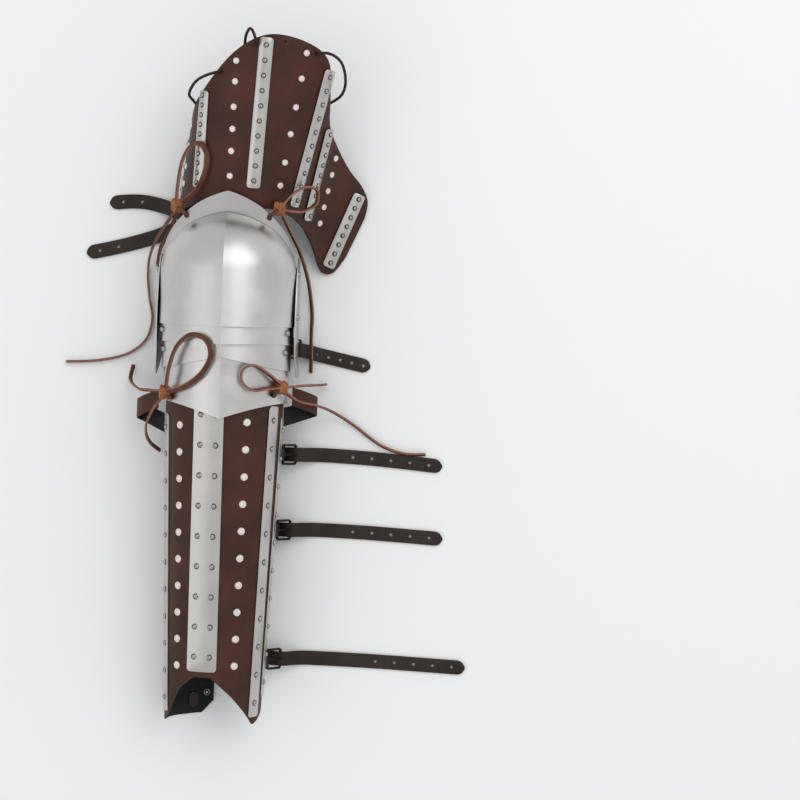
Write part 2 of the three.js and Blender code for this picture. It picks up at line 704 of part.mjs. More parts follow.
// Thigh guard: straight ribs from the knee to the hip round the leg, then out over the flap. Places are
// shares of its width, its length and its rise.
const thighRibs = [
  { lowX: -0.2, lowY: 0.31, lowZ: 0.007, highX: -0.14, highY: 0.7, highZ: 0.007 },
  { lowX: -0.3, lowY: 0.28, lowZ: 0.19, highX: -0.235, highY: 0.8, highZ: 0.3 },
  { lowX: -0.29, lowY: 0.35, lowZ: 0.4, highX: -0.22, highY: 0.93, highZ: 0.55 },
  { lowX: -0.18, lowY: 0.38, lowZ: 0.6, highX: -0.14, highY: 1.04, highZ: 0.76 },
  { lowX: -0.005, lowY: 0.365, lowZ: 0.693, highX: 0.03, highY: 1.22, highZ: 0.94 },
  { lowX: 0.145, lowY: 0.36, lowZ: 0.713, highX: 0.22, highY: 1.315, highZ: 1.007 },
  { lowX: 0.265, lowY: 0.36, lowZ: 0.66, highX: 0.425, highY: 1.295, highZ: 0.947 },
  { lowX: 0.35, lowY: 0.34, lowZ: 0.56, highX: 0.56, highY: 1.215, highZ: 0.787 },
  { lowX: 0.4, lowY: 0.31, lowZ: 0.44, highX: 0.575, highY: 1.03, highZ: 0.647 },
  { lowX: 0.44, lowY: 0.27, lowZ: 0.313, highX: 0.575, highY: 0.87, highZ: 0.507 },
  { lowX: 0.49, lowY: 0.17, lowZ: 0.173, highX: 0.62, highY: 0.76, highZ: 0.333 },
  { lowX: 0.52, lowY: 0.075, lowZ: 0.08, highX: 0.69, highY: 0.645, highZ: 0.187 },
  { lowX: 0.55, lowY: 0.035, lowZ: 0.04, highX: 0.76, highY: 0.565, highZ: 0.093 },
  { lowX: 0.61, lowY: 0.045, lowZ: 0.024, highX: 0.8, highY: 0.475, highZ: 0.047 },
  { lowX: 0.68, lowY: 0.14, lowZ: 0.022, highX: 0.785, highY: 0.375, highZ: 0.033 },
];

// A column of the ribs' table, eased from rib to rib
function ribValue(name, u) {
  const last = thighRibs.length - 1;
  const k = clamp(Math.floor(u), 0, last - 1);
  const t = u - k;
  const value = (i) => thighRibs[clamp(i, 0, last)][name];
  const slope = (i) => (value(i + 1) - value(i - 1)) / 2;
  const cube = t * t * t;
  const square = t * t;
  return (2 * cube - 3 * square + 1) * value(k) + (cube - 2 * square + t) * slope(k)
    + (3 * square - 2 * cube) * value(k + 1) + (cube - square) * slope(k + 1);
}

function thighSurface(u, v) {
  const at = (low, high) => lerp(ribValue(low, u), ribValue(high, u), v);
  const y = thighKneeReach + thighLength * (at('lowY', 'highY') - thighKneeShare);
  return vec(thighWidth * at('lowX', 'highX'), y, thighRise * at('lowZ', 'highZ'));
}

const thighLaceHoles = [{ u: 3.62, v: 0.95 }, { u: 4.72, v: 0.96 }, { u: 5.5, v: 0.965 }, { u: 6.45, v: 0.965 }];

function thighLeather() {
  const strips = 28;
  const lastRib = thighRibs.length - 1;
  const grid = [1, 0].map((v) => Array.from({ length: strips + 1 },
    (_, j) => thighSurface((lastRib * j) / strips, v)));
  const cutters = thighLaceHoles.map(({ u, v }) => {
    const { place, normal } = frameOn(thighSurface, u, v);
    return hole(place, normal, laceHoleRadius, 2 * leather);
  });
  return pierced(sheet(grid, leather), cutters);
}

const thighSplints = [
  { name: 'thigh_splint_left_rear', from: [1.15, 0.2], to: [1.15, 0.94], rivets: 6 },
  { name: 'thigh_splint_left', from: [3, 0.15], to: [3, 0.97], rivets: 10, lift: -0.4 },
  { name: 'thigh_splint_front', from: [5, 0.12], to: [5, 0.985], rivets: 10 },
  { name: 'thigh_splint_right', from: [7.25, 0.07], to: [7.25, 0.985], rivets: 10 },
  { name: 'thigh_splint_fold', from: [8.9, 0.09], to: [8.9, 0.95], rivets: 9, lift: 1.1 },
  { name: 'thigh_splint_flap', from: [12.1, 0.08], to: [12.1, 0.92], rivets: 8, lift: 1.1 },
];

// Free strap ends of the thigh guard, riveted at its left side: they drop to the floor and run out there
const thighStraps = [
  { name: 'thigh_strap_upper', u: 0.72, v: 0.13, tip: [-0.75, 0.415], bow: 9 },
  { name: 'thigh_strap_lower', u: 0.6, v: 0.02, tip: [-0.878, 0.11], bow: -3 },
];

function thighStrapSolid({ u, v, tip, bow }) {
  const { place, normal } = frameOn(thighSurface, u, v);
  const root = place.addScaledVector(normal, seatGap + strapThickness / 2);
  const end = vec(thighWidth * tip[0], thighLength * tip[1], strapLowZ);
  const along = end.clone().sub(root).setZ(0).normalize();
  const route = [0, 0.08, 0.16, 0.26, 0.36, 0.5, 0.66, 0.83, 1].map((s) => {
    const p = root.clone().lerp(end, s);
    p.y += bow * Math.sin(Math.PI * s);
    p.z = strapLowZ + (root.z - strapLowZ) * (1 - ease(s / 0.4));
    const turnBow = (bow * Math.PI * Math.cos(Math.PI * s)) / end.clone().sub(root).length();
    const ahead = along.clone().add(vec(0, turnBow, 0)).normalize();
    return { at: [p.x, p.y, p.z], wide: [-ahead.y, ahead.x, 0] };
  });
  return ribbon(route, thighStrapWidth, strapThickness, { tip: strapTip, holes: strapHoles(16, 2) });
}

// Thongs: each is a list of points chosen by hand
const thongRoutes = {
  lace_upper_left: {
    knot: [-57, 73, 99],
    runs: [
      [[-58, 76, 99], [-57, 99, 97], [-52, 127, 99], [-42, 142, 105], [-31, 143, 112], [-23, 129, 111],
        [-27, 107, 107], [-36, 90, 103], [-53, 75, 100]],
      [[-56, 69, 96], [-68, 48, 66], [-83, 29, 32], [-90, 10, 3]],
      [[-57, 70, 96], [-75, 51, 68], [-93, 29, 30], [-101, 6, 4], [-98, -30, 3], [-94, -52, 3],
        [-100, -78, 3], [-120, -96, 3], [-156, -106, 3], [-196, -109, 3]],
      [[-55, 71, 102], [-50, 67, 112], [-45.2, 62.6, 111], [-45, 62, 97]],
    ],
  },
  lace_upper_right: {
    knot: [61.5, 72.5, 105],
    runs: [
      [[63.5, 75, 107], [75.3, 90, 102], [90.5, 99.5, 97], [102.5, 97.5, 91], [102, 82, 87], [86.8, 72, 93],
        [65.5, 72, 106]],
      [[60.5, 71.5, 107], [56, 67, 113], [50.3, 62.6, 112], [50, 62, 97]],
      [[62.5, 70, 103], [72.5, 50, 84], [84.8, 24, 50], [93.5, -9, 14], [98, -44, 3], [98, -60, 9],
        [98.5, -74, 17.5], [99, -91, 18.6], [99, -102, 12], [98.5, -112, 3]],
    ],
  },
  lace_lower_left: {
    knot: [-62, -142, 109],
    runs: [
      [[-61, -138, 111], [-56.5, -112, 122], [-46.5, -88, 132], [-29, -76, 144], [-12.8, -82, 148],
        [-7.6, -98, 146], [-17, -118, 140], [-37.3, -134, 130], [-59, -141, 112]],
      [[-63, -141, 107], [-85.7, -140, 84], [-102.6, -138, 44], [-117, -126, 8], [-114.5, -110, 3]],
      [[-63, -145, 107], [-77.3, -160, 88], [-89, -182, 62], [-89, -202, 22], [-79, -212, 3]],
      [[-60, -143.6, 111], [-57, -146.6, 112], [-55.6, -147, 102]],
    ],
  },
  lace_lower_right: {
    knot: [71, -132, 106],
    runs: [
      [[69, -128, 109], [54.6, -116, 123], [38.8, -108, 136], [28.8, -114, 139], [27.9, -126, 138],
        [38.9, -136, 133], [54.8, -134, 122], [69, -132, 109]],
      [[73, -132, 105], [91.5, -129, 78], [106.5, -127.5, 36], [117, -126, 3]],
      [[73, -136, 103], [88.8, -147, 76], [111.2, -152, 44], [129.7, -160, 12], [150, -172, 3], [186, -197, 3],
        [214, -206, 3], [240, -206, 3]],
      [[68.5, -134, 109], [63.5, -140, 111], [62.4, -141, 101]],
    ],
  },
  lace_hip_left: {
    runs: [[[-7.6, 223.3, 129.3], [-10.1, 222.5, 134.1], [-22, 218, 139], [-36, 212, 130], [-46, 200, 112],
      [-42, 194, 90], [-34, 184, 74]]],
  },
  lace_hip_front: {
    runs: [[[32.7, 252.6, 147], [32.3, 251.5, 152.4], [30, 261, 157.5], [25, 269, 152], [19, 264, 138],
      [17, 252, 128]]],
  },
  lace_hip_right: {
    runs: [[[97.3, 247.8, 129.5], [100.4, 246.3, 134.1], [112, 247, 137], [126, 240, 129], [132, 222, 114],
      [128, 208, 96], [117, 201, 84], [106, 197, 77]]],
  },
};

function thongTube(points) {
  const section = new THREE.Shape();
  for (let k = 0; k < thongSides; k += 1) {
    const turn = (2 * Math.PI * k) / thongSides;
    const [x, y] = [(thongDiameter / 2) * Math.cos(turn), (thongDiameter / 2) * Math.sin(turn)];
    if (k === 0) section.moveTo(x, y);
    else section.lineTo(x, y);
  }
  section.closePath();
  const curve = new THREE.CatmullRomCurve3(points.map((p) => vec(...p)), false, 'centripetal');
  const steps = points.length - 1;
  return solidOf(new THREE.ExtrudeGeometry(section, { steps, extrudePath: curve, bevelEnabled: false }));
}

function thongSolid({ knot, runs }) {
  const solids = runs.map(thongTube);
  if (knot) {
    const ball = new THREE.SphereGeometry(knotRadius, 7, 4);
    ball.scale(1.1, 1, 0.85);
    ball.translate(...knot);
    solids.push(solidOf(ball));
  }
  return joined(solids);
}

// Assembly

const finishes = {
  steel: { color: 0xb9b7b3, roughness: 0.32, metalness: 1 },
  brownLeather: { color: 0x4a2c22, roughness: 0.62, metalness: 0 },
  strapLeather: { color: 0x2d221d, roughness: 0.75, metalness: 0 },
  thong: { color: 0x8a4b2c, roughness: 0.7, metalness: 0 },
  blackIron: { color: 0x2b2b2b, roughness: 0.45, metalness: 1 },
};

const leg = new THREE.Group();

function add(name, solid, finish) {
  const mesh = new THREE.Mesh(geometryOf(solid), new THREE.MeshStandardMaterial(finishes[finish]));
  mesh.name = name;
  leg.add(mesh);
}

// Knee
add('knee_cop', copSolid(), 'steel');
add('knee_wing_left', wingSolid(-1), 'steel');
add('knee_wing_right', wingSolid(1), 'steel');
add('knee_upper_lame', upperLameSolid(), 'steel');
lames.forEach(({ name }, k) => add(name, lameSolid(k), 'steel'));
add('knee_strap', kneeStrapSolid(), 'strapLeather');
add('knee_buckle', buckle(kneeBuckleAt, kneeStrapYaw), 'blackIron');
add('knee_buckle_tab', kneeTabSolid(), 'strapLeather');

// Greave
add('greave_leather', greaveLeather(), 'brownLeather');
greaveSplints.forEach(({ name, angle, from, to, ...rest }) => {
  add(name, splint(greaveSurface, { u: () => angle / 100, from: 1 - to, to: 1 - from, ...rest }), 'steel');
});
greaveStraps.forEach((row) => {
  const parts = greaveStrapParts(row);
  add(`greave_strap_${row.name}`, parts.strap, 'strapLeather');
  add(`greave_buckle_${row.name}`, parts.buckle, 'blackIron');
  add(`greave_buckle_tab_${row.name}`, parts.tab, 'strapLeather');
});
sideTabs.forEach((row) => add(row.name, sideTabSolid(row), 'strapLeather'));

// Thigh guard
add('thigh_leather', thighLeather(), 'brownLeather');
thighSplints.forEach(({ name, from, to, rivets, lift = seatGap }) => {
  const u = (v) => lerp(from[0], to[0], (v - from[1]) / (to[1] - from[1]));
  add(name, splint(thighSurface, {
    u, from: from[1], to: to[1], width: thighSplintWidth, strips: 4, crown: thighSplintCrown, lift, rivets,
  }), 'steel');
});
thighStraps.forEach((row) => add(row.name, thighStrapSolid(row), 'strapLeather'));

// Thongs
Object.entries(thongRoutes).forEach(([name, route]) => add(name, thongSolid(route), 'thong'));

leg.position.y = kneeStrapBehind;

export default leg;
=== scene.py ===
"""Looks of a splinted leg harness for one leg, lying on its back.

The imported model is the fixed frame. A leather thigh guard, a jointed steel knee and a leather greave are
dressed in brushed steel, brown leather, strap leather, leather laces and blackened iron. Lengths are in
millimetres, counted along Y from the knee's axis, until a mesh is finished.
"""

from __future__ import annotations

import logging
import math
from dataclasses import dataclass
from enum import Enum
from typing import Callable, Iterable, Sequence

import bmesh
import bpy
from mathutils import Matrix, Vector


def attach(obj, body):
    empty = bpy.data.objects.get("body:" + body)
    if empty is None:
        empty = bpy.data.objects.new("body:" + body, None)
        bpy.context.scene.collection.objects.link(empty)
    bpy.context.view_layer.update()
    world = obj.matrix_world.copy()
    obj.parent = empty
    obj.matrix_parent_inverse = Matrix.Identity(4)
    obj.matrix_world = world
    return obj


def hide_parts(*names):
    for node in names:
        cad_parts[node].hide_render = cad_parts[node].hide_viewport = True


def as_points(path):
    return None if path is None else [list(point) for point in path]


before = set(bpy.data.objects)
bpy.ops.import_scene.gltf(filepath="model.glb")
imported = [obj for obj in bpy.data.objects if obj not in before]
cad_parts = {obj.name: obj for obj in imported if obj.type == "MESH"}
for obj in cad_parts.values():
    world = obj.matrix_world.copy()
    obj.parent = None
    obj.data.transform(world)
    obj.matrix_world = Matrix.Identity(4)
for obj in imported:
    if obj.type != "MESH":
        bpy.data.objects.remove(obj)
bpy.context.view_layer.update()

LOG = logging.getLogger("leg_harness")

MM = 0.001
STEEL = 1.4
LEATHER = 3.0
SEAT_GAP = 0.3
# Thickness of the dark disc that paints the shadow round a rivet's foot.
SHADOW_DISC_THICKNESS = 0.4
KNEE_AXIS_Z = 75.0
KNEE_CENTRE_X = 3.0
KNEE_STRAP_BEHIND = 68.0
TO_FRAME = Matrix.Scale(MM, 4) @ Matrix.Translation((0.0, KNEE_STRAP_BEHIND, 0.0))

Surface = Callable[[float, float], Vector]
Hole = tuple[Vector, Vector, float, float]


class Body(Enum):
    """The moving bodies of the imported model."""

    KNEE = "knee"
    THIGH = "thigh_guard"
    LAME_1 = "lame_1"
    LAME_2 = "lame_2"
    GREAVE = "greave"


class Slot(Enum):
    """The record's material slots."""

    KNEE_STEEL = "knee_steel"
    SPLINT_STEEL = "splint_steel"
    BROWN_LEATHER = "brown_leather"
    STRAP_LEATHER = "strap_leather"
    THONG = "thong"
    BLACK_IRON = "black_iron"


def lerp(a: float, b: float, t: float) -> float:
    """Value between a and b at share t."""
    return a + (b - a) * t


def clamp(value: float, low: float = 0.0, high: float = 1.0) -> float:
    """Value kept between low and high."""
    return min(high, max(low, value))


def ease(t: float) -> float:
    """Share t eased at both ends."""
    t = clamp(t)
    return t * t * (3.0 - 2.0 * t)


def smooth_row(rows: Sequence[float], u: float) -> float:
    """Value of an evenly spaced row of numbers at u, eased from one to the next.

    Args:
        rows: The numbers.
        u: A place counted in rows.

    Returns:
        The value on a smooth curve through the numbers.
    """
    last = len(rows) - 1
    k = int(clamp(math.floor(u), 0, last - 1))
    t = u - k

    def value(i: int) -> float:
        return rows[int(clamp(i, 0, last))]

    def slope(i: int) -> float:
        return (value(i + 1) - value(i - 1)) / 2.0

    square, cube = t * t, t * t * t
    return (
        (2 * cube - 3 * square + 1) * value(k)
        + (cube - 2 * square + t) * slope(k)
        + (3 * square - 2 * cube) * value(k + 1)
        + (cube - square) * slope(k + 1)
    )


# Finishes


class Graph:
    """A material's node tree with short calls for the nodes that the finishes use."""

    def __init__(self, name: str) -> None:
        """Starts an empty material with one shader."""
        self.material = bpy.data.materials.new(name)
        self.material.use_nodes = True
        self.nodes = self.material.node_tree.nodes
        self.links = self.material.node_tree.links
        self.shader = self.nodes["Principled BSDF"]
        self.place = self.nodes.new("ShaderNodeTexCoord").outputs["Object"]

    def mapped(self, scale: tuple[float, float, float]) -> bpy.types.NodeSocket:
        """Object coordinates stretched by a scale."""
        node = self.nodes.new("ShaderNodeMapping")
        node.inputs["Scale"].default_value = scale
        self.links.new(self.place, node.inputs["Vector"])
        return node.outputs["Vector"]

    def noise(
        self,
        scale: float,
        detail: float = 4.0,
        roughness: float = 0.55,
        stretch: tuple[float, float, float] = (1.0, 1.0, 1.0),
    ) -> bpy.types.NodeSocket:
        """Noise as a number from 0 to 1.

        Args:
            scale: Features per metre.
            detail: Number of finer octaves.
            roughness: How strong the finer octaves are.
            stretch: Scale along each axis.

        Returns:
            The noise's output.
        """
        node = self.nodes.new("ShaderNodeTexNoise")
        node.inputs["Scale"].default_value = scale
        node.inputs["Detail"].default_value = detail
        node.inputs["Roughness"].default_value = roughness
        self.links.new(self.mapped(stretch), node.inputs["Vector"])
        return node.outputs["Fac"]

    def cells(self, scale: float) -> bpy.types.NodeSocket:
        """Distance to the nearest cell middle, for pebbled grain."""
        node = self.nodes.new("ShaderNodeTexVoronoi")
        node.inputs["Scale"].default_value = scale
        self.links.new(self.place, node.inputs["Vector"])
        return node.outputs["Distance"]

    def ramp(
        self, value: bpy.types.NodeSocket, stops: Sequence[tuple[float, tuple[float, float, float]]]
    ) -> bpy.types.NodeSocket:
        """Colours along a number.

        Args:
            value: The number's output.
            stops: Places from 0 to 1 with their linear colours.

        Returns:
            The colour output.
        """
        node = self.nodes.new("ShaderNodeValToRGB")
        elements = node.color_ramp.elements
        while len(elements) < len(stops):
            elements.new(0.5)
        for element, (at, colour) in zip(elements, stops):
            element.position = at
            element.color = (*colour, 1.0)
        self.links.new(value, node.inputs["Fac"])
        return node.outputs["Color"]

    def ranged(self, value: bpy.types.NodeSocket, low: float, high: float) -> bpy.types.NodeSocket:
        """A number from 0 to 1 spread between low and high."""
        node = self.nodes.new("ShaderNodeMapRange")
        node.inputs["From Min"].default_value = 0.3
        node.inputs["From Max"].default_value = 0.7
        node.inputs["To Min"].default_value = low
        node.inputs["To Max"].default_value = high
        self.links.new(value, node.inputs["Value"])
        return node.outputs["Result"]

    def blend(
        self, share: bpy.types.NodeSocket, first: bpy.types.NodeSocket, second: bpy.types.NodeSocket
    ) -> bpy.types.NodeSocket:
        """Two colours multiplied by a share."""
        node = self.nodes.new("ShaderNodeMix")
        node.data_type = "RGBA"
        node.blend_type = "MULTIPLY"
        self.links.new(share, node.inputs[0])
        self.links.new(first, node.inputs[6])
        self.links.new(second, node.inputs[7])
        return node.outputs[2]

    def bump(
        self,
        height: bpy.types.NodeSocket,
        distance: float,
        strength: float,
        under: bpy.types.NodeSocket | None = None,
    ) -> bpy.types.NodeSocket:
        """Surface relief.

        Args:
            height: The relief's height from 0 to 1.
            distance: Its depth in metres.
            strength: Its strength from 0 to 1.
            under: An earlier relief to add to.

        Returns:
            The normal output.
        """
        node = self.nodes.new("ShaderNodeBump")
        node.inputs["Distance"].default_value = distance
        node.inputs["Strength"].default_value = strength
        self.links.new(height, node.inputs["Height"])
        if under is not None:
            self.links.new(under, node.inputs["Normal"])
        return node.outputs["Normal"]

    def set(self, **values: object) -> None:
        """Sets the shader's own sockets, with underscores for spaces."""
        for name, value in values.items():
            self.shader.inputs[name.replace("_", " ")].default_value = value

    def to(self, name: str, value: bpy.types.NodeSocket) -> None:
        """Links an output to one of the shader's sockets."""
        self.links.new(value, self.shader.inputs[name])


@dataclass(frozen=True)
class BrushedSteel:
    """Satin steel with fine brush lines along the leg."""

    name: str
    light: tuple[float, float, float] = (0.64, 0.625, 0.61)
    dark: tuple[float, float, float] = (0.55, 0.54, 0.525)
    roughness: tuple[float, float] = (0.31, 0.4)
    lines: float = 420.0

    def material(self) -> bpy.types.Material:
        """Builds the finish."""
        graph = Graph(self.name)
        brushed = graph.noise(self.lines, 5.0, 0.65, (1.0, 0.035, 1.0))
        clouds = graph.noise(22.0, 3.0)
        graph.to("Base Color", graph.ramp(clouds, [(0.32, self.dark), (0.68, self.light)]))
        graph.to("Roughness", graph.ranged(clouds, *self.roughness))
        graph.to("Normal", graph.bump(brushed, 0.00002, 0.15))
        graph.set(Metallic=1.0)
        return graph.material


@dataclass(frozen=True)
class Polished:
    """Bright rivet metal with faint wear."""

    name: str
    colour: tuple[float, float, float] = (0.8, 0.79, 0.78)
    roughness: float = 0.14

    def material(self) -> bpy.types.Material:
        """Builds the finish."""
        graph = Graph(self.name)
        wear = graph.noise(600.0, 3.0)
        dark = tuple(0.8 * c for c in self.colour)
        graph.to("Base Color", graph.ramp(wear, [(0.35, dark), (0.6, self.colour)]))
        graph.to("Roughness", graph.ranged(wear, self.roughness, self.roughness * 1.7))
        graph.set(Metallic=1.0)
        return graph.material


@dataclass(frozen=True)
class Leather:
    """Dyed leather with mottled colour and fine grain."""

    name: str
    dark: tuple[float, float, float]
    light: tuple[float, float, float]
    roughness: tuple[float, float] = (0.42, 0.6)
    grain: float = 900.0
    grain_depth: float = 0.00012
    mottle: float = 16.0
    sheen: float = 0.0

    def material(self) -> bpy.types.Material:
        """Builds the finish."""
        graph = Graph(self.name)
        mottle = graph.noise(self.mottle, 5.0, 0.6)
        fibre = graph.noise(self.grain * 0.45, 4.0, 0.7)
        colour = graph.ramp(mottle, [(0.3, self.dark), (0.7, self.light)])
        fine = graph.ramp(fibre, [(0.3, (0.72, 0.72, 0.72)), (0.65, (1.0, 1.0, 1.0))])
        share = graph.ranged(mottle, 0.55, 0.8)
        graph.to("Base Color", graph.blend(share, colour, fine))
        graph.to("Roughness", graph.ranged(fibre, *self.roughness))
        pebbles = graph.bump(graph.cells(self.grain), self.grain_depth, 0.5)
        graph.to("Normal", graph.bump(fibre, self.grain_depth, 0.4, pebbles))
        graph.set(Sheen_Weight=self.sheen, Specular_IOR_Level=0.26)
        return graph.material


@dataclass(frozen=True)
class BlackIron:
    """Blackened iron with a dull shine."""

    name: str

    def material(self) -> bpy.types.Material:
        """Builds the finish."""
        graph = Graph(self.name)
        scale = graph.noise(300.0, 4.0)
        colour = graph.ramp(scale, [(0.3, (0.012, 0.012, 0.013)), (0.7, (0.045, 0.043, 0.042))])
        graph.to("Base Color", colour)
        graph.to("Roughness", graph.ranged(scale, 0.3, 0.5))
        graph.to("Normal", graph.bump(scale, 0.0001, 0.3))
        graph.set(Metallic=1.0)
        return graph.material


class Finishes:
    """One material for each finish of the harness."""

    def __init__(self) -> None:
        """Builds them all."""
        self.plate = BrushedSteel("satin_plate_steel").material()
        self.splint = BrushedSteel(
            "satin_splint_steel", (0.57, 0.56, 0.53), (0.49, 0.48, 0.455), (0.34, 0.44), 520.0
        ).material()
        # The domes' steel is darkened to paint the dark surroundings that they reflect.
        self.dome = Polished("domed_rivet_steel", (0.4, 0.39, 0.38), 0.2).material()
        self.flat = Polished("flat_rivet_nickel", (0.9, 0.83, 0.78), 0.42).material()
        self.brown = Leather("brown_leather", (0.034, 0.0115, 0.0065), (0.083, 0.027, 0.0145)).material()
        # Near-black leather for inner faces, painting the shade inside the shells and inside the side tabs' folds.
        self.inside = Leather(
            "painted_shade_inside_leather", (0.004, 0.004, 0.004), (0.01, 0.009, 0.009), (0.6, 0.75)
        ).material()
        self.edge = Leather("leather_edge", (0.035, 0.014, 0.009), (0.07, 0.028, 0.017)).material()
        self.strap = Leather(
            "strap_leather", (0.017, 0.012, 0.009), (0.04, 0.027, 0.02), (0.45, 0.62), 620.0, 0.0003
        ).material()
        self.strap_edge = Leather(
            "strap_edge", (0.03, 0.021, 0.015), (0.075, 0.05, 0.036), (0.55, 0.7), 900.0, 0.0002
        ).material()
        # Lace leather: partly the thong's own brown, partly darkened as painted shade on the laces' broad faces;
        # the lighter edge copy below paints the light on their narrow edges.
        self.thong = Leather(
            "lace_leather", (0.07, 0.024, 0.013), (0.16, 0.056, 0.03), (0.5, 0.68), 1300.0, 0.0002, 55.0
        ).material()
        self.lit_thong_edge = Leather(
            "lace_edge_lit", (0.2, 0.085, 0.05), (0.38, 0.17, 0.105), (0.6, 0.75), 1300.0, 0.0002, 80.0
        ).material()
        self.knot = Leather(
            "knot_leather", (0.17, 0.055, 0.018), (0.42, 0.155, 0.05), (0.5, 0.68), 1100.0, 0.0002, 120.0
        ).material()
        self.hip = Leather(
            "hip_lace_leather", (0.012, 0.006, 0.005), (0.04, 0.018, 0.012), (0.45, 0.6), 1300.0, 0.0001, 60.0
        ).material()
        self.iron = BlackIron("blackened_iron").material()


# Meshes


def sheet_of(columns: int, rows: int, surface: Surface, turn: bool = False) -> bmesh.types.BMesh:
    """A grid bent onto a surface.

    Args:
        columns: Cells across.
        rows: Cells along.
        surface: Place in millimetres at two shares from 0 to 1.
        turn: Whether its faces are turned over.

    Returns:
        The open sheet.
    """
    bm = bmesh.new()
    bmesh.ops.create_grid(bm, x_segments=columns, y_segments=rows, size=1.0)
    for vert in bm.verts:
        vert.co = surface((vert.co.x + 1.0) / 2.0, (vert.co.y + 1.0) / 2.0)
    if turn:
        bmesh.ops.reverse_faces(bm, faces=bm.faces)
    return bm


def frame_at(place: Vector, normal: Vector) -> Matrix:
    """A place's axes with Z along a normal."""
    return Matrix.Translation(place) @ normal.to_track_quat("Z", "Y").to_matrix().to_4x4()


def add_dome(
    bm: bmesh.types.BMesh, place: Vector, normal: Vector, radius: float, height: float, sides: int = 12
) -> None:
    """Adds a domed rivet head to a mesh.

    Args:
        bm: The mesh.
        place: The middle of its foot.
        normal: The way it stands out.
        radius: Its radius.
        height: Its height.
        sides: Faces round it.
    """
    turn = frame_at(place, normal) @ Matrix.Diagonal((radius, radius, height, 1.0))
    bmesh.ops.create_uvsphere(bm, u_segments=sides, v_segments=8, radius=1.0, matrix=turn)


def add_shadow_disc(bm: bmesh.types.BMesh, place: Vector, normal: Vector, radius: float) -> None:
    """Adds a thin dark disc round a rivet's foot, in the mesh's second material, as painted shadow.

    Args:
        bm: The mesh.
        place: Its middle.
        normal: The way it faces.
        radius: Its radius.
    """
    made = bmesh.ops.create_cone(
        bm,
        cap_ends=True,
        segments=14,
        radius1=radius,
        radius2=radius,
        depth=SHADOW_DISC_THICKNESS,
        matrix=frame_at(place, normal),
    )
    for face in {face for vert in made["verts"] for face in vert.link_faces}:
        face.material_index = 1


def add_ring(
    bm: bmesh.types.BMesh, place: Vector, axis: Vector, radius: float, thick: float, squash: float = 1.0
) -> None:
    """Adds a closed turn of lace to a mesh.

    Args:
        bm: The mesh.
        place: The ring's middle.
        axis: Its axis.
        radius: Radius of its middle line.
        thick: Radius of the lace.
        squash: Share of its size kept along one side.
    """
    turn = frame_at(place, axis) @ Matrix.Diagonal((1.0, squash, 1.0, 1.0))
    flat = Matrix.Translation((radius, 0, 0)) @ Matrix.Diagonal((0.62, 1.0, 1.25, 1.0))
    made = bmesh.ops.create_circle(
        bm, segments=10, radius=thick, matrix=flat @ Matrix.Rotation(math.pi / 2, 4, "X")
    )
    edges = list({edge for vert in made["verts"] for edge in vert.link_edges})
    old = set(bm.verts) - set(made["verts"])
    bmesh.ops.spin(
        bm,
        geom=made["verts"] + edges,
        cent=(0, 0, 0),
        axis=(0, 0, 1),
        angle=2 * math.pi,
        steps=20,
        use_merge=True,
    )
    bmesh.ops.transform(bm, matrix=turn, verts=[vert for vert in bm.verts if vert not in old])


def baked(obj: bpy.types.Object) -> bpy.types.Mesh:
    """The object's mesh with its modifiers applied."""
    bpy.context.view_layer.update()
    shown = obj.evaluated_get(bpy.context.evaluated_depsgraph_get())
    return bpy.data.meshes.new_from_object(shown)


@dataclass
class Wall:
    """How a sheet gets its thickness: to the inside, with its own inner and rim material."""

    thickness: float
    inner: int = 0
    rim: int = 0
    bevel: float = 0.35


def new_object(name: str, bm: bmesh.types.BMesh, scale: bool = True) -> bpy.types.Object:
    """An object of a bmesh, moved from millimetres at the knee to the frame.

    Args:
        name: Its name.
        bm: Its mesh, which is freed.
        scale: Whether the mesh is still in millimetres at the knee.

    Returns:
        The object.
    """
    if scale:
        bmesh.ops.transform(bm, matrix=TO_FRAME, verts=bm.verts)
    mesh = bpy.data.meshes.new(name)
    bm.to_mesh(mesh)
    bm.free()
    obj = bpy.data.objects.new(name, mesh)
    bpy.context.scene.collection.objects.link(obj)
    return obj


def dress(
    obj: bpy.types.Object,
    body: Body,
    slot: Slot,
    materials: Sequence[bpy.types.Material],
    replaces: Iterable[str] = (),
    wall: Wall | None = None,
    bevel: float = 0.0,
    sharp: float = 30.0,
) -> bpy.types.Object:
    """slot: The record's material slot; not used.
        materials: Its materials, the outer one first.
        replaces: The CAD nodes that it stands for.
        wall: Its thickness, if its mesh is an open sheet.
        bevel: Rounding of its edges in millimetres.
        sharp: Angle in degrees from which an edge stays sharp.

    Returns:
        The finished object.
    """
    if obj.data.materials:
        obj.data.materials.clear()
    for material in materials:
        obj.data.materials.append(material)
    if wall:
        thick = obj.modifiers.new("wall", "SOLIDIFY")
        thick.thickness = wall.thickness * MM
        thick.offset = -1.0
        thick.use_even_offset = True
        thick.material_offset = wall.inner
        thick.material_offset_rim = wall.rim
        bevel = wall.bevel
    if bevel:
        round_off = obj.modifiers.new("edges", "BEVEL")
        round_off.width = bevel * MM
        round_off.segments = 2
        round_off.profile = 0.5
        round_off.limit_method = "ANGLE"
        round_off.angle_limit = math.radians(50)
        round_off.use_clamp_overlap = True
    if obj.modifiers:
        mesh = baked(obj)
        obj.modifiers.clear()
        obj.data = mesh
    obj.data.shade_smooth()
    obj.data.set_sharp_from_angle(angle=math.radians(sharp))
    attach(obj, body.value)
    names = list(replaces)
    if names:
        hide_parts(*names)
    LOG.info("%s: %d faces on %s", obj.name, len(obj.data.polygons), body.value)
    return obj


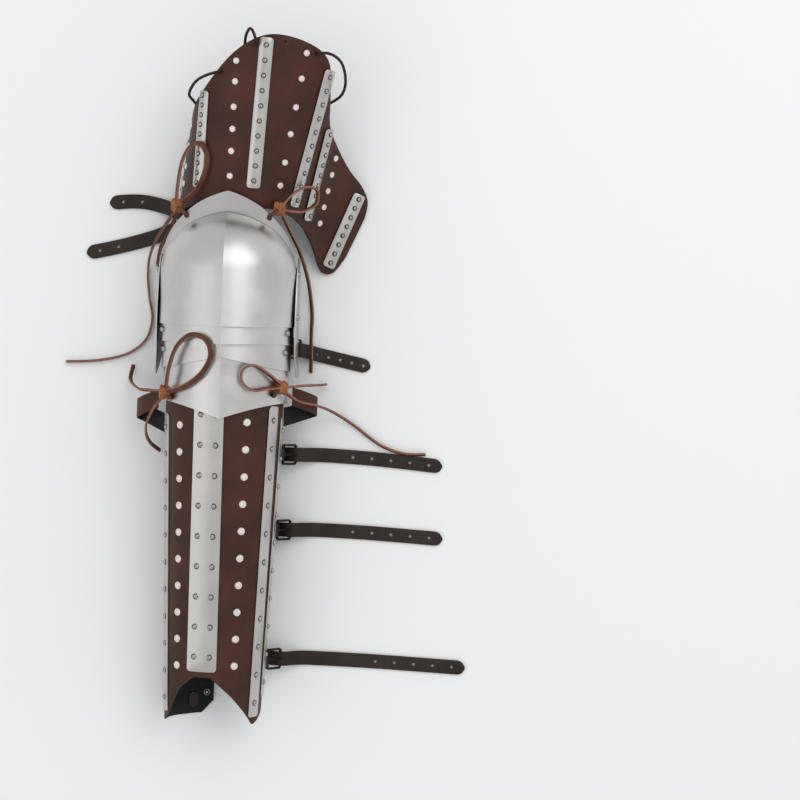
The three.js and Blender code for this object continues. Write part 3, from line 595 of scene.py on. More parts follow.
def punch(obj: bpy.types.Object, holes: Sequence[Hole], frame_scale: bool) -> None:
    """Cuts round holes through an object's mesh.

    Args:
        obj: The object.
        holes: The middle, axis, radius and depth of each, in millimetres.
        frame_scale: Whether the mesh is already in the frame.
    """
    bm = bmesh.new()
    for place, axis, radius, depth in holes:
        turn = frame_at(place, axis)
        bmesh.ops.create_cone(
            bm, cap_ends=True, segments=16, radius1=radius, radius2=radius, depth=depth, matrix=turn
        )
    cutter = new_object(f"{obj.name}_punch", bm, scale=frame_scale)
    cut = obj.modifiers.new("holes", "BOOLEAN")
    cut.operation = "DIFFERENCE"
    cut.solver = "EXACT"
    cut.object = cutter
    mesh = baked(obj)
    obj.modifiers.clear()
    obj.data = mesh
    bpy.data.objects.remove(cutter)


def merged_copy(node: str, name: str) -> bpy.types.Object:
    """A copy of a CAD node with its loose triangles merged.

    Args:
        node: The node's name.
        name: The copy's name.

    Returns:
        The copy.
    """
    bm = bmesh.new()
    bm.from_mesh(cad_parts[node].data)
    bmesh.ops.remove_doubles(bm, verts=bm.verts, dist=0.00002)
    bmesh.ops.dissolve_limit(bm, angle_limit=math.radians(2), verts=bm.verts, edges=bm.edges)
    return new_object(name, bm, scale=False)


# Knee


@dataclass(frozen=True)
class Section:
    """Cross-section of a knee plate: a keel, two flanks and short walls."""

    half_width: float
    rise: float
    keel_shift: float = 12.0
    wall_share: float = 0.9
    wall_drop: float = 11.0

    def at(self, share: float) -> tuple[float, float]:
        """Place across and height over the knee's axis.

        Args:
            share: From -1 at the left edge to 1 at the right edge.

        Returns:
            The x and the height.
        """
        out = abs(share)
        start = math.asin(self.keel_shift / (self.half_width + self.keel_shift))
        angle = lerp(start, math.pi / 2, min(1.0, out / self.wall_share))
        x = (self.half_width + self.keel_shift) * math.sin(angle) - self.keel_shift
        height = self.rise / math.cos(start) * math.cos(angle)
        if out > self.wall_share:
            height -= self.wall_drop * (out - self.wall_share) / (1 - self.wall_share)
        return KNEE_CENTRE_X + math.copysign(x, share), height


def turned(x: float, height: float, angle: float) -> Vector:
    """A section point turned about the knee's axis.

    Args:
        x: Its place across.
        height: Its height over the axis.
        angle: The turn in degrees, towards the thigh.

    Returns:
        The turned point.
    """
    radius = max(height, 9.0)
    turn = math.radians(angle)
    return Vector((x, radius * math.sin(turn), KNEE_AXIS_Z + height - radius + radius * math.cos(turn)))


@dataclass
class Lame:
    """One of the plates that hang under the cop."""

    name: str
    body: Body
    round: float
    side_edge: float
    keel_edge: float
    rim_drop: float


@dataclass
class Knee:
    """The steel knee: a keeled cop, wings, and lames that slide under one another."""

    finishes: Finishes
    half_width: float = 79.0
    rise: float = 75.0
    cop_length: float = 66.0
    upper_angle: float = 63.0
    layer: float = 2.2
    first_pivot: float = 50.0
    pivot_pitch: float = 22.5
    pin_share: float = 0.69
    overlap: float = 11.0
    fall_radius: float = 75.0
    wing_top: float = 22.0
    wing_length: float = 144.0
    wing_half_height: float = 34.0
    wing_drop: float = 16.0
    wing_straight: float = 80.0
    wing_flare: float = 8.0
    hole_radius: float = 3.2
    hole_reach: float = 60.0
    upper_holes: tuple[tuple[float, float, float], ...] = ((-45.0, 62.0, 110.0), (50.0, 62.0, 110.0))
    lower_holes: tuple[tuple[float, float, float], ...] = ((-55.0, -147.0, 105.0), (62.0, -141.0, 105.0))
    lames: tuple[Lame, ...] = (
        Lame("knee_lame_1", Body.LAME_1, 17.0, 83.0, 86.5, 0.0),
        Lame("knee_lame_2", Body.LAME_2, 14.0, 113.0, 100.0, 0.0),
        Lame("knee_lower_plate", Body.GREAVE, 18.0, 150.0, 170.0, 3.0),
    )

    def plate(self, obj: bpy.types.Object, body: Body, node: str, wall: Wall, sharp: float = 11.0) -> None:
        """Dresses a plate in satin steel, its inner faces near-black iron as painted shade.

        Args:
            obj: The plate's sheet.
            body: The body that it rides on.
            node: The CAD node that it stands for.
            wall: Its thickness.
            sharp: Angle in degrees from which an edge stays sharp.
        """
        # The iron on the inner faces paints the shade inside the plate.
        metals = [self.finishes.plate, self.finishes.iron]
        dress(obj, body, Slot.KNEE_STEEL, metals, [node], wall, sharp=sharp)

    def lace_holes(self, obj: bpy.types.Object, places: Sequence[tuple[float, float, float]]) -> None:
        """Punches a plate's lace holes.

        Args:
            obj: The plate.
            places: Their middles.
        """
        up = Vector((0, 0, 1))
        punch(obj, [(Vector(at), up, self.hole_radius, self.hole_reach) for at in places], True)

    def cop(self) -> None:
        """Makes the cop: turned about the knee's axis above, straight below."""
        section = Section(self.half_width, self.rise)
        split = 10 / 28

        def surface(u: float, v: float) -> Vector:
            x, height = section.at(2 * u - 1)
            if v > split:
                return turned(x, height, self.upper_angle * (v - split) / (1 - split))
            edge = -self.cop_length * (0.925 + 0.075 * clamp(height / self.rise))
            return Vector((x, edge * (1 - v / split), KNEE_AXIS_Z + height))

        obj = new_object("knee_cop_plate", sheet_of(60, 28, surface))
        self.plate(obj, Body.KNEE, "knee_cop", Wall(STEEL, inner=1))

    def upper_lame(self) -> None:
        """Makes the lame over the cop, which turns under it and flares out over the thigh guard."""
        section = Section(self.half_width - self.layer, self.rise - self.layer)
        crease = self.upper_angle + 1.3
        split = 6 / 16
        flare_angle = math.radians(25)

        def surface(u: float, v: float) -> Vector:
            x, height = section.at((2 * u - 1) * 0.86)
            if v < split:
                return turned(x, height, crease - 19.0 * (1 - v / split))
            share = (v - split) / (1 - split)
            gable = 0.6 + 0.4 * (1 - abs(x - KNEE_CENTRE_X) / section.half_width)
            run = 27.0 * share * gable * clamp(height / section.rise) ** 0.25
            lift = math.sin(flare_angle) * (0.7 + 0.3 * share)
            return turned(x, height, crease) + Vector((0.0, run * math.cos(flare_angle), run * lift))

        obj = new_object("knee_upper_lame_plate", sheet_of(52, 16, surface))
        self.plate(obj, Body.THIGH, "knee_upper_lame", Wall(STEEL, inner=1))
        self.lace_holes(obj, self.upper_holes)

    def fall(self, along: float) -> float:
        """How far a lame's back has fallen at a distance from its pivots."""
        return -along * along / (2 * self.fall_radius)

    def drop(self, k: int) -> float:
        """How far lame k hangs lower than its section."""
        return 0.0 if k == 0 else self.drop(k - 1) - self.fall(self.lames[k - 1].round) + 0.1

    def lame(self, k: int) -> None:
        """Makes lame k, with the pivot rivets of the next one.

        Args:
            k: Its number, from the cop down.
        """
        row = self.lames[k]
        section = Section(self.half_width - (k + 1) * self.layer, self.rise - (k + 1) * self.layer)
        pivot = -(self.first_pivot + k * self.pivot_pitch)
        split = 6 / 18

        def surface(u: float, v: float) -> Vector:
            x, height = section.at(2 * u - 1)
            top = KNEE_AXIS_Z + height - self.drop(k)
            if v > split:
                along = lerp(-row.round, self.overlap, (v - split) / (1 - split))
                return Vector((x, pivot + along, top + self.fall(along)))
            keelward = clamp(1 - abs(x - KNEE_CENTRE_X) / section.half_width) ** 1.3
            edge = min(-lerp(row.side_edge, row.keel_edge, keelward), pivot - row.round - 1)
            share = 1 - v / split
            y = lerp(pivot - row.round, edge, share)
            return Vector((x, y, top + self.fall(row.round) - row.rim_drop * share))

        obj = new_object(f"{row.name}_plate", sheet_of(56, 18, surface))
        self.plate(obj, row.body, row.name, Wall(STEEL, inner=1))
        if k + 1 == len(self.lames):
            self.lace_holes(obj, self.lower_holes)
            return
        bm = bmesh.new()
        for side in (-1, 1):
            x, height = section.at(side * self.pin_share)
            foot = Vector((x, pivot - self.pivot_pitch + 3.0, KNEE_AXIS_Z + height - self.drop(k)))
            add_dome(bm, foot, Vector((side, 0, 0.45)).normalized(), 3.6, 2.8)
        dress(
            new_object(f"{row.name}_rivets", bm), row.body, Slot.KNEE_STEEL, [self.finishes.dome]
        )

    def wing(self, side: int) -> None:
        """Makes a wing, a leaf-shaped plate against the cop's side that flares out below.

        Args:
            side: -1 for the left one, 1 for the right one.
        """

        def inner_x(y: float, t: float) -> float:
            start = self.wing_top + self.wing_length + y
            flare = self.wing_flare * ease((self.wing_straight - start) / self.wing_straight)
            return self.half_width + SEAT_GAP + flare * (1 - 0.4 * t)

        def surface(u: float, v: float) -> Vector:
            share = 0.014 + 0.972 * (1 - math.cos(math.pi * u)) / 2
            y = self.wing_top - self.wing_length * share
            half = self.wing_half_height * math.sqrt(1 - (2 * share - 1) ** 2)
            t = 2 * v - 1
            x = KNEE_CENTRE_X + side * (inner_x(y, t) + STEEL)
            return Vector((x, y, KNEE_AXIS_Z - self.wing_drop + half * t))

        name = "left" if side < 0 else "right"
        obj = new_object(f"knee_wing_{name}_plate", sheet_of(36, 10, surface, turn=side > 0))
        self.plate(obj, Body.KNEE, f"knee_wing_{name}", Wall(STEEL, inner=1, bevel=0.45), 30.0)
        bm = bmesh.new()
        for y in (0.0, -self.first_pivot):
            foot = Vector((KNEE_CENTRE_X + side * (self.half_width + SEAT_GAP + STEEL), y, KNEE_AXIS_Z))
            add_dome(bm, foot, Vector((side, 0, 0.45)).normalized(), 4.0, 3.6)
        dress(new_object(f"knee_wing_{name}_rivets", bm), Body.KNEE, Slot.KNEE_STEEL, [self.finishes.dome])

    def build(self) -> None:
        """Makes the whole knee."""
        self.cop()
        self.upper_lame()
        for k in range(len(self.lames)):
            self.lame(k)
        self.wing(-1)
        self.wing(1)


# Splints and rivets


@dataclass
class Splint:
    """A riveted steel splint along a line of a leather surface."""

    name: str
    start: tuple[float, float]
    end: tuple[float, float]
    width: float
    rivets: int
    crown: float = 0.0
    lift: float = SEAT_GAP
    columns: tuple[float, ...] = (0.0,)
    low_corner: float = 3.5
    high_corner: float = 3.5


class SplintSmith:
    """Makes splints and flat rivets on a leather surface."""

    step = 0.004
    dome_share = 0.87
    # How far the dark disc of painted shadow reaches past a rivet's head.
    shadow_disc_rim = 0.5

    def __init__(self, surface: Surface, body: Body, finishes: Finishes, rivet: float = 3.1) -> None:
        """Keeps the surface, the body, the finishes and the radius of the splints' rivets."""
        self.surface = surface
        self.body = body
        self.finishes = finishes
        self.rivet = rivet

    def frame_on(self, u: float, v: float) -> tuple[Vector, Vector, Vector]:
        """A place on the surface.

        Args:
            u: The place across.
            v: The place along.

        Returns:
            The place, the outward normal and the sideways direction.
        """
        place = self.surface(u, v)
        along = (self.surface(u, v + self.step) - self.surface(u, v - self.step)).normalized()
        across = (self.surface(u + self.step, v) - self.surface(u - self.step, v)).normalized()
        normal = across.cross(along).normalized()
        return place, normal, along.cross(normal).normalized()

    def outer(self, row: Splint, v: float, share: float, crown: float) -> tuple[Vector, Vector]:
        """A point of a splint's outer face.

        Args:
            row: The splint.
            v: The place along the surface.
            share: From -1 to 1 across the splint.
            crown: Height of its crown here.

        Returns:
            The point and the normal.
        """
        u = lerp(row.start[0], row.end[0], (v - row.start[1]) / (row.end[1] - row.start[1]))
        place, normal, side = self.frame_on(u, v)
        sideways = row.width / 2 * share
        reach = (self.surface(u + self.step, v) - self.surface(u - self.step, v)).length / (2 * self.step)
        fallen = (self.surface(u + sideways / reach, v) - place).dot(normal)
        height = row.lift + STEEL + crown - max(0.0, -fallen)
        return place + side * sideways + normal * height, normal

    def splint(self, row: Splint) -> None:
        """Makes a splint and its domed rivets.

        Args:
            row: The splint.
        """

        def crown(share: float) -> float:
            if not row.crown:
                return 0.0
            return row.crown * (1 - share * share)

        low, high = row.start[1], row.end[1]
        length = (self.surface(*row.end) - self.surface(*row.start)).length

        def corner(share: float, radius: float) -> float:
            past = clamp((abs(share) * row.width / 2 - row.width / 2 + radius) / radius)
            return radius * (1 - math.sqrt(1 - past * past)) / length * (high - low)

        def surface(u: float, v: float) -> Vector:
            share = math.sin((2 * u - 1) * math.pi / 2) * 0.35 + (2 * u - 1) * 0.65
            along = lerp(low + corner(share, row.low_corner), high - corner(share, row.high_corner), v)
            return self.outer(row, along, share, crown(share))[0]

        across = 16 if row.crown else 12
        obj = new_object(f"{row.name}_steel", sheet_of(across, 24, surface))
        wall = Wall(STEEL, bevel=0.3)
        dress(obj, self.body, Slot.SPLINT_STEEL, [self.finishes.splint], [row.name], wall, sharp=22.0)
        bm = bmesh.new()
        for k in range(row.rivets):
            v = lerp(row.start[1], row.end[1], (k + 0.5) / row.rivets)
            for share in row.columns:
                place, normal = self.outer(row, v, share, crown(share))
                add_dome(bm, place - normal * 0.3, normal, self.rivet, self.rivet * self.dome_share)
                # A near-black iron disc round each dome's foot paints its contact shadow.
                add_shadow_disc(bm, place, normal, self.rivet + self.shadow_disc_rim)
        metals = [self.finishes.dome, self.finishes.iron]
        dress(new_object(f"{row.name}_rivets", bm), self.body, Slot.SPLINT_STEEL, metals)

    def washers(self, name: str, places: Sequence[tuple[float, float]], wall: float) -> None:
        """Makes the peened ends and washers of rivets on the inside.

        Args:
            name: The piece's name.
            places: Where they are on the surface.
            wall: The leather's thickness.
        """
        bm = bmesh.new()
        for u, v in places:
            place, normal, _ = self.frame_on(u, v)
            inner = place - normal * (wall + 0.3)
            add_ring(bm, inner, normal, 3.4, 1.1)
            add_dome(bm, inner, -normal, 1.9, 1.3)
        dress(new_object(name, bm), self.body, Slot.SPLINT_STEEL, [self.finishes.splint], sharp=50.0)

    def flat_rivets(self, name: str, places: Sequence[tuple[float, float]], radius: float = 4.5) -> None:
        """Makes a column of flat rivets in the leather.

        Args:
            name: The piece's name.
            places: Where they are on the surface.
            radius: Their radius.
        """
        bm = bmesh.new()
        for u, v in places:
            place, normal, _ = self.frame_on(u, v)
            made = bmesh.ops.create_cone(
                bm,
                cap_ends=True,
                segments=20,
                radius1=radius,
                radius2=radius * 0.88,
                depth=0.9,
                matrix=frame_at(place + normal * 0.4, normal),
            )
            faces = {face for vert in made["verts"] for face in vert.link_faces}
            caps = [face for face in faces if len(face.verts) > 4]
            top = max(caps, key=lambda face: face.calc_center_median().dot(normal))
            bmesh.ops.inset_region(bm, faces=[top], thickness=radius * 0.3, depth=0.2)
        dress(new_object(name, bm), self.body, Slot.SPLINT_STEEL, [self.finishes.flat], sharp=12.0)


# Greave


@dataclass
class Greave:
    """The leather greave: a tube open at the back, a notched lower edge, splints and flat rivets."""

    finishes: Finishes
    top_y: float = -130.0
    length: float = 395.0
    notch: float = 59.0
    heel_short: float = 28.0
    half_widths: tuple[float, float] = (69.2, 56.1)
    half_depths: tuple[float, float] = (63.5, 48.5)
    centres: tuple[float, float] = (2.8, -0.6)
    edges: tuple[float, float] = (-176.0, 100.0)
    back_z: float = 2.9
    lower_edge: tuple[tuple[float, float, float], ...] = (
        (-180, 0, 0.7),
        (-174, 0, 0.5),
        (-162, 0, 0.04),
        (-140, 0, 0),
        (-85, 0, 0),
        (-62, 0.2, 0),
        (-40, 0.72, 0),
        (-20, 0.97, 0),
        (0, 0.97, 0),
        (25, 0.6, 0),
        (62, 0, 0),
        (80, 0, 0.3),
        (110, 0, 1),
    )
    splints: tuple[Splint, ...] = (
        Splint("greave_splint_front", (-0.1, 1 - 0.838), (-0.1, 1 - 0.046), 35.0, 9, columns=(-0.5, 0.5)),
        Splint("greave_splint_right", (0.6, 1 - 0.975), (0.6, 1 - 0.06), 17.0, 11),
        Splint("greave_splint_right_rear", (0.84, 1 - 0.92), (0.84, 1 - 0.09), 15.0, 10),
        Splint("greave_splint_left", (-0.7, 1 - 0.967), (-0.7, 1 - 0.09), 17.0, 11),
        Splint("greave_splint_back", (-1.46, 1 - 0.88), (-1.46, 1 - 0.09), 28.0, 8, columns=(-0.5, 0.5)),
    )

    def share(self, y: float) -> float:
        """Share of the greave's length at a place along it."""
        return (self.top_y - y) / self.length

    def point(self, angle: float, y: float) -> Vector:
        """A point of the outer surface.

        Args:
            angle: Angle in degrees round it, from the front to the right.
            y: Place along it.

        Returns:
            The point.
        """
        share = self.share(y)
        turn = math.radians(angle)
        depth = lerp(*self.half_depths, share)
        x = lerp(*self.centres, share) + lerp(*self.half_widths, share) * math.sin(turn)
        return Vector((x, y, self.back_z + depth * (1 + math.cos(turn))))

    def edge_y(self, angle: float) -> float:
        """Place of the lower edge at an angle."""
        rows = self.lower_edge
        k = next((i for i, row in enumerate(rows) if row[0] > angle), len(rows) - 1)
        low, high = rows[max(0, k - 1)], rows[max(1, k)]
        t = (angle - low[0]) / (high[0] - low[0])
        stand = self.notch * lerp(low[1], high[1], t) + self.heel_short * lerp(low[2], high[2], t)
        return self.top_y - self.length + stand

    def leather(self) -> None:
        """Makes the leather tube, its inside near-black as painted shade."""

        def surface(u: float, v: float) -> Vector:
            angle = lerp(*self.edges, u)
            return self.point(angle, lerp(self.edge_y(angle), self.top_y, v))

        obj = new_object("greave_leather_shell", sheet_of(92, 30, surface))
        dress(
            obj,
            Body.GREAVE,
            Slot.BROWN_LEATHER,
            [self.finishes.brown, self.finishes.inside, self.finishes.edge],
            ["greave_leather"],
            Wall(LEATHER, inner=1, rim=2, bevel=0.6),
            sharp=40.0,
        )

    def surface(self, u: float, v: float) -> Vector:
        """The outer surface at an angle in hundreds of degrees and a share of the length."""
        return self.point(u * 100, self.top_y - self.length * (1 - v))

    def inner_tongue(self) -> None:
        """Makes the small leather tongue that is riveted inside, near the heel."""
        smith = SplintSmith(self.surface, Body.GREAVE, self.finishes)
        stops = []
        for share in (0.064, 0.05, 0.035, 0.02):
            place, normal, side = smith.frame_on(-1.49, share)
            stops.append(Stop(place - normal * (LEATHER + 1.2), side))
        obj = strap_object("greave_inner_tongue", Route(stops), 11.0, 1.4, 5.0)
        leathers = [self.finishes.strap, self.finishes.strap_edge]
        dress(obj, Body.GREAVE, Slot.BROWN_LEATHER, leathers, sharp=35.0)

    def build(self) -> None:
        """Makes the greave with its splints and rivets."""
        self.leather()
        smith = SplintSmith(self.surface, Body.GREAVE, self.finishes)
        for row in self.splints:
            smith.splint(row)
        right = [(0.275, 0.97 - 0.079 * k) for k in range(11)]
        left = [(-0.43, 0.955 - 0.078 * k) for k in range(11)]
        back = [(-1.15, 0.93 - 0.085 * k) for k in range(10)]
        smith.washers("greave_inner_washers", [(-1.49, 0.055), (-1.67, 0.065), *back[-2:]], LEATHER)
        self.inner_tongue()
        smith.flat_rivets("greave_flat_rivets_right", right)
        smith.flat_rivets("greave_flat_rivets_left", left)
        smith.flat_rivets("greave_flat_rivets_back", back)


# Thigh guard


@dataclass
class Rib:
    """A rib of the thigh guard's surface, as shares of its width, length and rise."""

    low: tuple[float, float, float]
    high: tuple[float, float, float]


@dataclass
class ThighGuard:
    """The leather thigh guard: a half-round wrap with a flap at its right side."""

    finishes: Finishes
    size: tuple[float, float, float] = (200.0, 200.0, 150.0)
    ribs: tuple[Rib, ...] = (
        Rib((-0.2, 0.31, 0.007), (-0.14, 0.7, 0.007)),
        Rib((-0.3, 0.28, 0.19), (-0.235, 0.8, 0.3)),
        Rib((-0.29, 0.35, 0.4), (-0.22, 0.93, 0.55)),
        Rib((-0.18, 0.38, 0.6), (-0.14, 1.04, 0.76)),
        Rib((-0.005, 0.365, 0.693), (0.03, 1.22, 0.94)),
        Rib((0.145, 0.36, 0.713), (0.22, 1.315, 1.007)),
        Rib((0.265, 0.36, 0.66), (0.425, 1.295, 0.947)),
        Rib((0.35, 0.34, 0.56), (0.56, 1.215, 0.787)),
        Rib((0.4, 0.31, 0.44), (0.575, 1.03, 0.647)),
        Rib((0.44, 0.27, 0.313), (0.575, 0.87, 0.507)),
        Rib((0.49, 0.17, 0.173), (0.62, 0.76, 0.333)),
        Rib((0.52, 0.075, 0.08), (0.69, 0.645, 0.187)),
        Rib((0.55, 0.035, 0.04), (0.76, 0.565, 0.093)),
        Rib((0.61, 0.045, 0.024), (0.8, 0.475, 0.047)),
        Rib((0.68, 0.14, 0.022), (0.785, 0.375, 0.033)),
    )
    rivet: float = 2.6
    flat_radius: float = 3.8
    flat_rivets: tuple[tuple[str, float, tuple[float, ...]], ...] = (
        ("left", 4.1, (0.93, 0.8, 0.64, 0.5, 0.36, 0.2)),
        ("right", 6.15, (0.94, 0.79, 0.62, 0.46, 0.29, 0.15)),
        ("flap", 10.0, (0.9, 0.74, 0.58, 0.42, 0.26)),
        ("side", 2.0, (0.85, 0.65, 0.45, 0.28)),
    )
    hole_radius: float = 1.4
    hole_depth: float = 5.0
    lace_holes: tuple[tuple[float, float], ...] = ((3.62, 0.95), (4.72, 0.96), (5.5, 0.965), (6.45, 0.965))
    splints: tuple[Splint, ...] = (
        Splint("thigh_splint_left_rear", (1.15, 0.2), (1.15, 0.94), 16.0, 6, 2.2),
        Splint("thigh_splint_left", (3.0, 0.15), (3.0, 0.97), 16.0, 10, 2.2, -0.4),
        Splint("thigh_splint_front", (5.0, 0.12), (5.0, 0.985), 16.0, 10, 2.2),
        Splint("thigh_splint_right", (7.25, 0.07), (7.25, 0.985), 16.0, 10, 2.2),
        Splint("thigh_splint_fold", (8.9, 0.09), (8.9, 0.95), 16.0, 9, 2.2, 1.1),
        Splint("thigh_splint_flap", (12.1, 0.08), (12.1, 0.92), 16.0, 8, 2.2, 1.1),
    )

    def surface(self, u: float, v: float) -> Vector:
        """The outer surface at a rib's number and a share of its length."""
        point = Vector()
        for axis in range(3):
            low = smooth_row([rib.low[axis] for rib in self.ribs], u)
            high = smooth_row([rib.high[axis] for rib in self.ribs], u)
            point[axis] = self.size[axis] * lerp(low, high, v)
        return point

    def leather(self) -> None:
        """Makes the leather, its inside near-black as painted shade."""
        last = len(self.ribs) - 1
        obj = new_object("thigh_leather_shell", sheet_of(98, 16, lambda u, v: self.surface(last * u, v)))
        obj = dress(
            obj,
            Body.THIGH,
            Slot.BROWN_LEATHER,
            [self.finishes.brown, self.finishes.inside, self.finishes.edge],
            ["thigh_leather"],
            Wall(LEATHER, inner=1, rim=2, bevel=0.6),
            sharp=40.0,
        )
        smith = SplintSmith(self.surface, Body.THIGH, self.finishes)
        holes = [smith.frame_on(u, v) for u, v in self.lace_holes]
        punch(obj, [(place, normal, self.hole_radius, self.hole_depth) for place, normal, _ in holes], True)

    def build(self) -> None:
        """Makes the thigh guard with its splints and rivets."""
        self.leather()
        smith = SplintSmith(self.surface, Body.THIGH, self.finishes, self.rivet)
        for row in self.splints:
            smith.splint(row)
        for side, u, shares in self.flat_rivets:
            places = [(u, v) for v in shares]
            smith.flat_rivets(f"thigh_flat_rivets_{side}", places, self.flat_radius)


# Straps


@dataclass
class Stop:
    """A point of a strap's route with its width direction."""

    at: Vector
    wide: Vector


ALONG_LEG = Vector((0.0, 1.0, 0.0))


class Route:
    """A smooth way through a strap's stops."""

    def __init__(self, stops: Sequence[Stop], straight: bool = False) -> None:
        """Samples the way closely, rounded through the stops unless it is straight."""
        self.places: list[Vector] = []
        self.wides: list[Vector] = []
        count = len(stops)
        for k in range(count - 1):
            ends = [stops[int(clamp(i, 0, count - 1))] for i in (k - 1, k, k + 1, k + 2)]
            parts = max(2, int((ends[2].at - ends[1].at).length / 2.0))
            for j in range(parts + (k == count - 2)):
                t = j / parts
                if straight:
                    self.places.append(ends[1].at.lerp(ends[2].at, t))
                else:
                    self.places.append(self.rounded([stop.at for stop in ends], t))
                self.wides.append(ends[1].wide.lerp(ends[2].wide, t))
        lowest = min(stop.at.z for stop in stops)
        for place in self.places:
            place.z = max(place.z, lowest)
        self.run = [0.0]
        for a, b in zip(self.places, self.places[1:]):
            self.run.append(self.run[-1] + (b - a).length)

    def free_of_twist(self, first: Vector) -> None:
        """Carries a width direction along the way without twisting it.

        Args:
            first: The width direction at the start.
        """
        wide = first
        last = len(self.places) - 1
        for k in range(last + 1):
            tangent = (self.places[min(k + 1, last)] - self.places[max(k - 1, 0)]).normalized()
            wide = (wide - tangent * wide.dot(tangent)).normalized()
            self.wides[k] = wide

    @staticmethod
    def rounded(p: Sequence[Vector], t: float) -> Vector:
        """Point of a smooth curve between the middle two of four points."""
        knots = [0.0]
        for a, b in zip(p, p[1:]):
            knots.append(knots[-1] + max(1e-6, (b - a).length) ** 0.5)
        k0, k1, k2, k3 = knots
        at = lerp(k1, k2, t)

        def mix(a: Vector, b: Vector, low: float, high: float) -> Vector:
            return a if high - low < 1e-2 else a.lerp(b, (at - low) / (high - low))

        a1, a2, a3 = mix(p[0], p[1], k0, k1), mix(p[1], p[2], k1, k2), mix(p[2], p[3], k2, k3)
        if k1 - k0 < 1e-2:
            a1 = p[1]
        if k3 - k2 < 1e-2:
            a3 = p[2]
        return mix(mix(a1, a2, k0, k2), mix(a2, a3, k1, k3), k1, k2)

    @property
    def length(self) -> float:
        """Length of the way."""
        return self.run[-1]

    def frame(self, distance: float) -> tuple[Vector, Vector, Vector]:
        """Place, width direction and normal at a distance along the way.

        Args:
            distance: Millimetres from its start.

        Returns:
            The place, the width direction and the normal.
        """
        distance = clamp(distance, 0.0, self.length)
        k = next((i for i in range(1, len(self.run)) if self.run[i] >= distance), len(self.run) - 1)
        span = max(1e-9, self.run[k] - self.run[k - 1])
        t = (distance - self.run[k - 1]) / span
        place = self.places[k - 1].lerp(self.places[k], t)
        ahead = self.places[min(k + 1, len(self.places) - 1)]
        behind = self.places[max(k - 2, 0)]
        tangent = (ahead - behind).normalized()
        wide = self.wides[k - 1].lerp(self.wides[k], t)
        return place, wide.normalized(), tangent.cross(wide).normalized()


def strap_object(
    name: str, route: Route, width: float, thickness: float, tip: float = 0.0, holes: Sequence[float] = (),
    step: float = 3.0, lining: int = 0,
) -> bpy.types.Object:
    """A strap made flat, punched, and then bent along its route.

    Args:
        name: The object's name.
        route: Its way, in millimetres at the knee.
        width: Its width.
        thickness: Its thickness.
        tip: Length of its pointed end.
        holes: Distances of its holes from its end.
        step: Length of a cell along it.
        lining: The side of its third material, 1 or -1, or 0 for none.

    Returns:
        The object, its mesh in the frame.
    """
    length = route.length
    cells = max(6, int(length / step))
    bm = bmesh.new()
    bmesh.ops.create_grid(bm, x_segments=cells, y_segments=4, size=1.0)
    for vert in bm.verts:
        along = (vert.co.x + 1) / 2 * length
        narrow = 1.0
        if tip and along > length - tip:
            narrow = math.sqrt(max(0.03, 1 - ((along - length + tip) / tip) ** 1.7))
        vert.co = Vector((along, vert.co.y * width / 2 * narrow, -thickness / 2))
    made = bmesh.ops.extrude_face_region(bm, geom=bm.faces[:])
    lifted = [item for item in made["geom"] if isinstance(item, bmesh.types.BMVert)]
    bmesh.ops.translate(bm, verts=lifted, vec=(0, 0, thickness))
    bmesh.ops.recalc_face_normals(bm, faces=bm.faces)
    rims = [edge for edge in bm.edges if edge.is_manifold and edge.calc_face_angle() > 1.2]
    bmesh.ops.bevel(
        bm, geom=rims, offset=thickness * 0.24, segments=2, profile=0.5, affect="EDGES", material=-1
    )
    # Narrow side faces take the second material, which on laces is the lighter copy painting the light on their
    # edges; the lining side takes the third.
    for face in bm.faces:
        face.material_index = 2 if face.normal.z * lining > 0.6 else int(abs(face.normal.y) > 0.6)
    obj = new_object(name, bm, scale=False)
    if holes:
        up = Vector((0, 0, 1))
        punch(obj, [(Vector((length - far, 0, 0)), up, 1.8, thickness * 3) for far in holes], False)
    for vert in obj.data.vertices:
        place, wide, normal = route.frame(vert.co.x)
        vert.co = TO_FRAME @ (place + wide * vert.co.y + normal * vert.co.z)
    return obj


@dataclass
class BuckledStrap:
    """A strap round the greave with its buckle and tab."""

    level: str
    share: float
    free: float
    turn: float


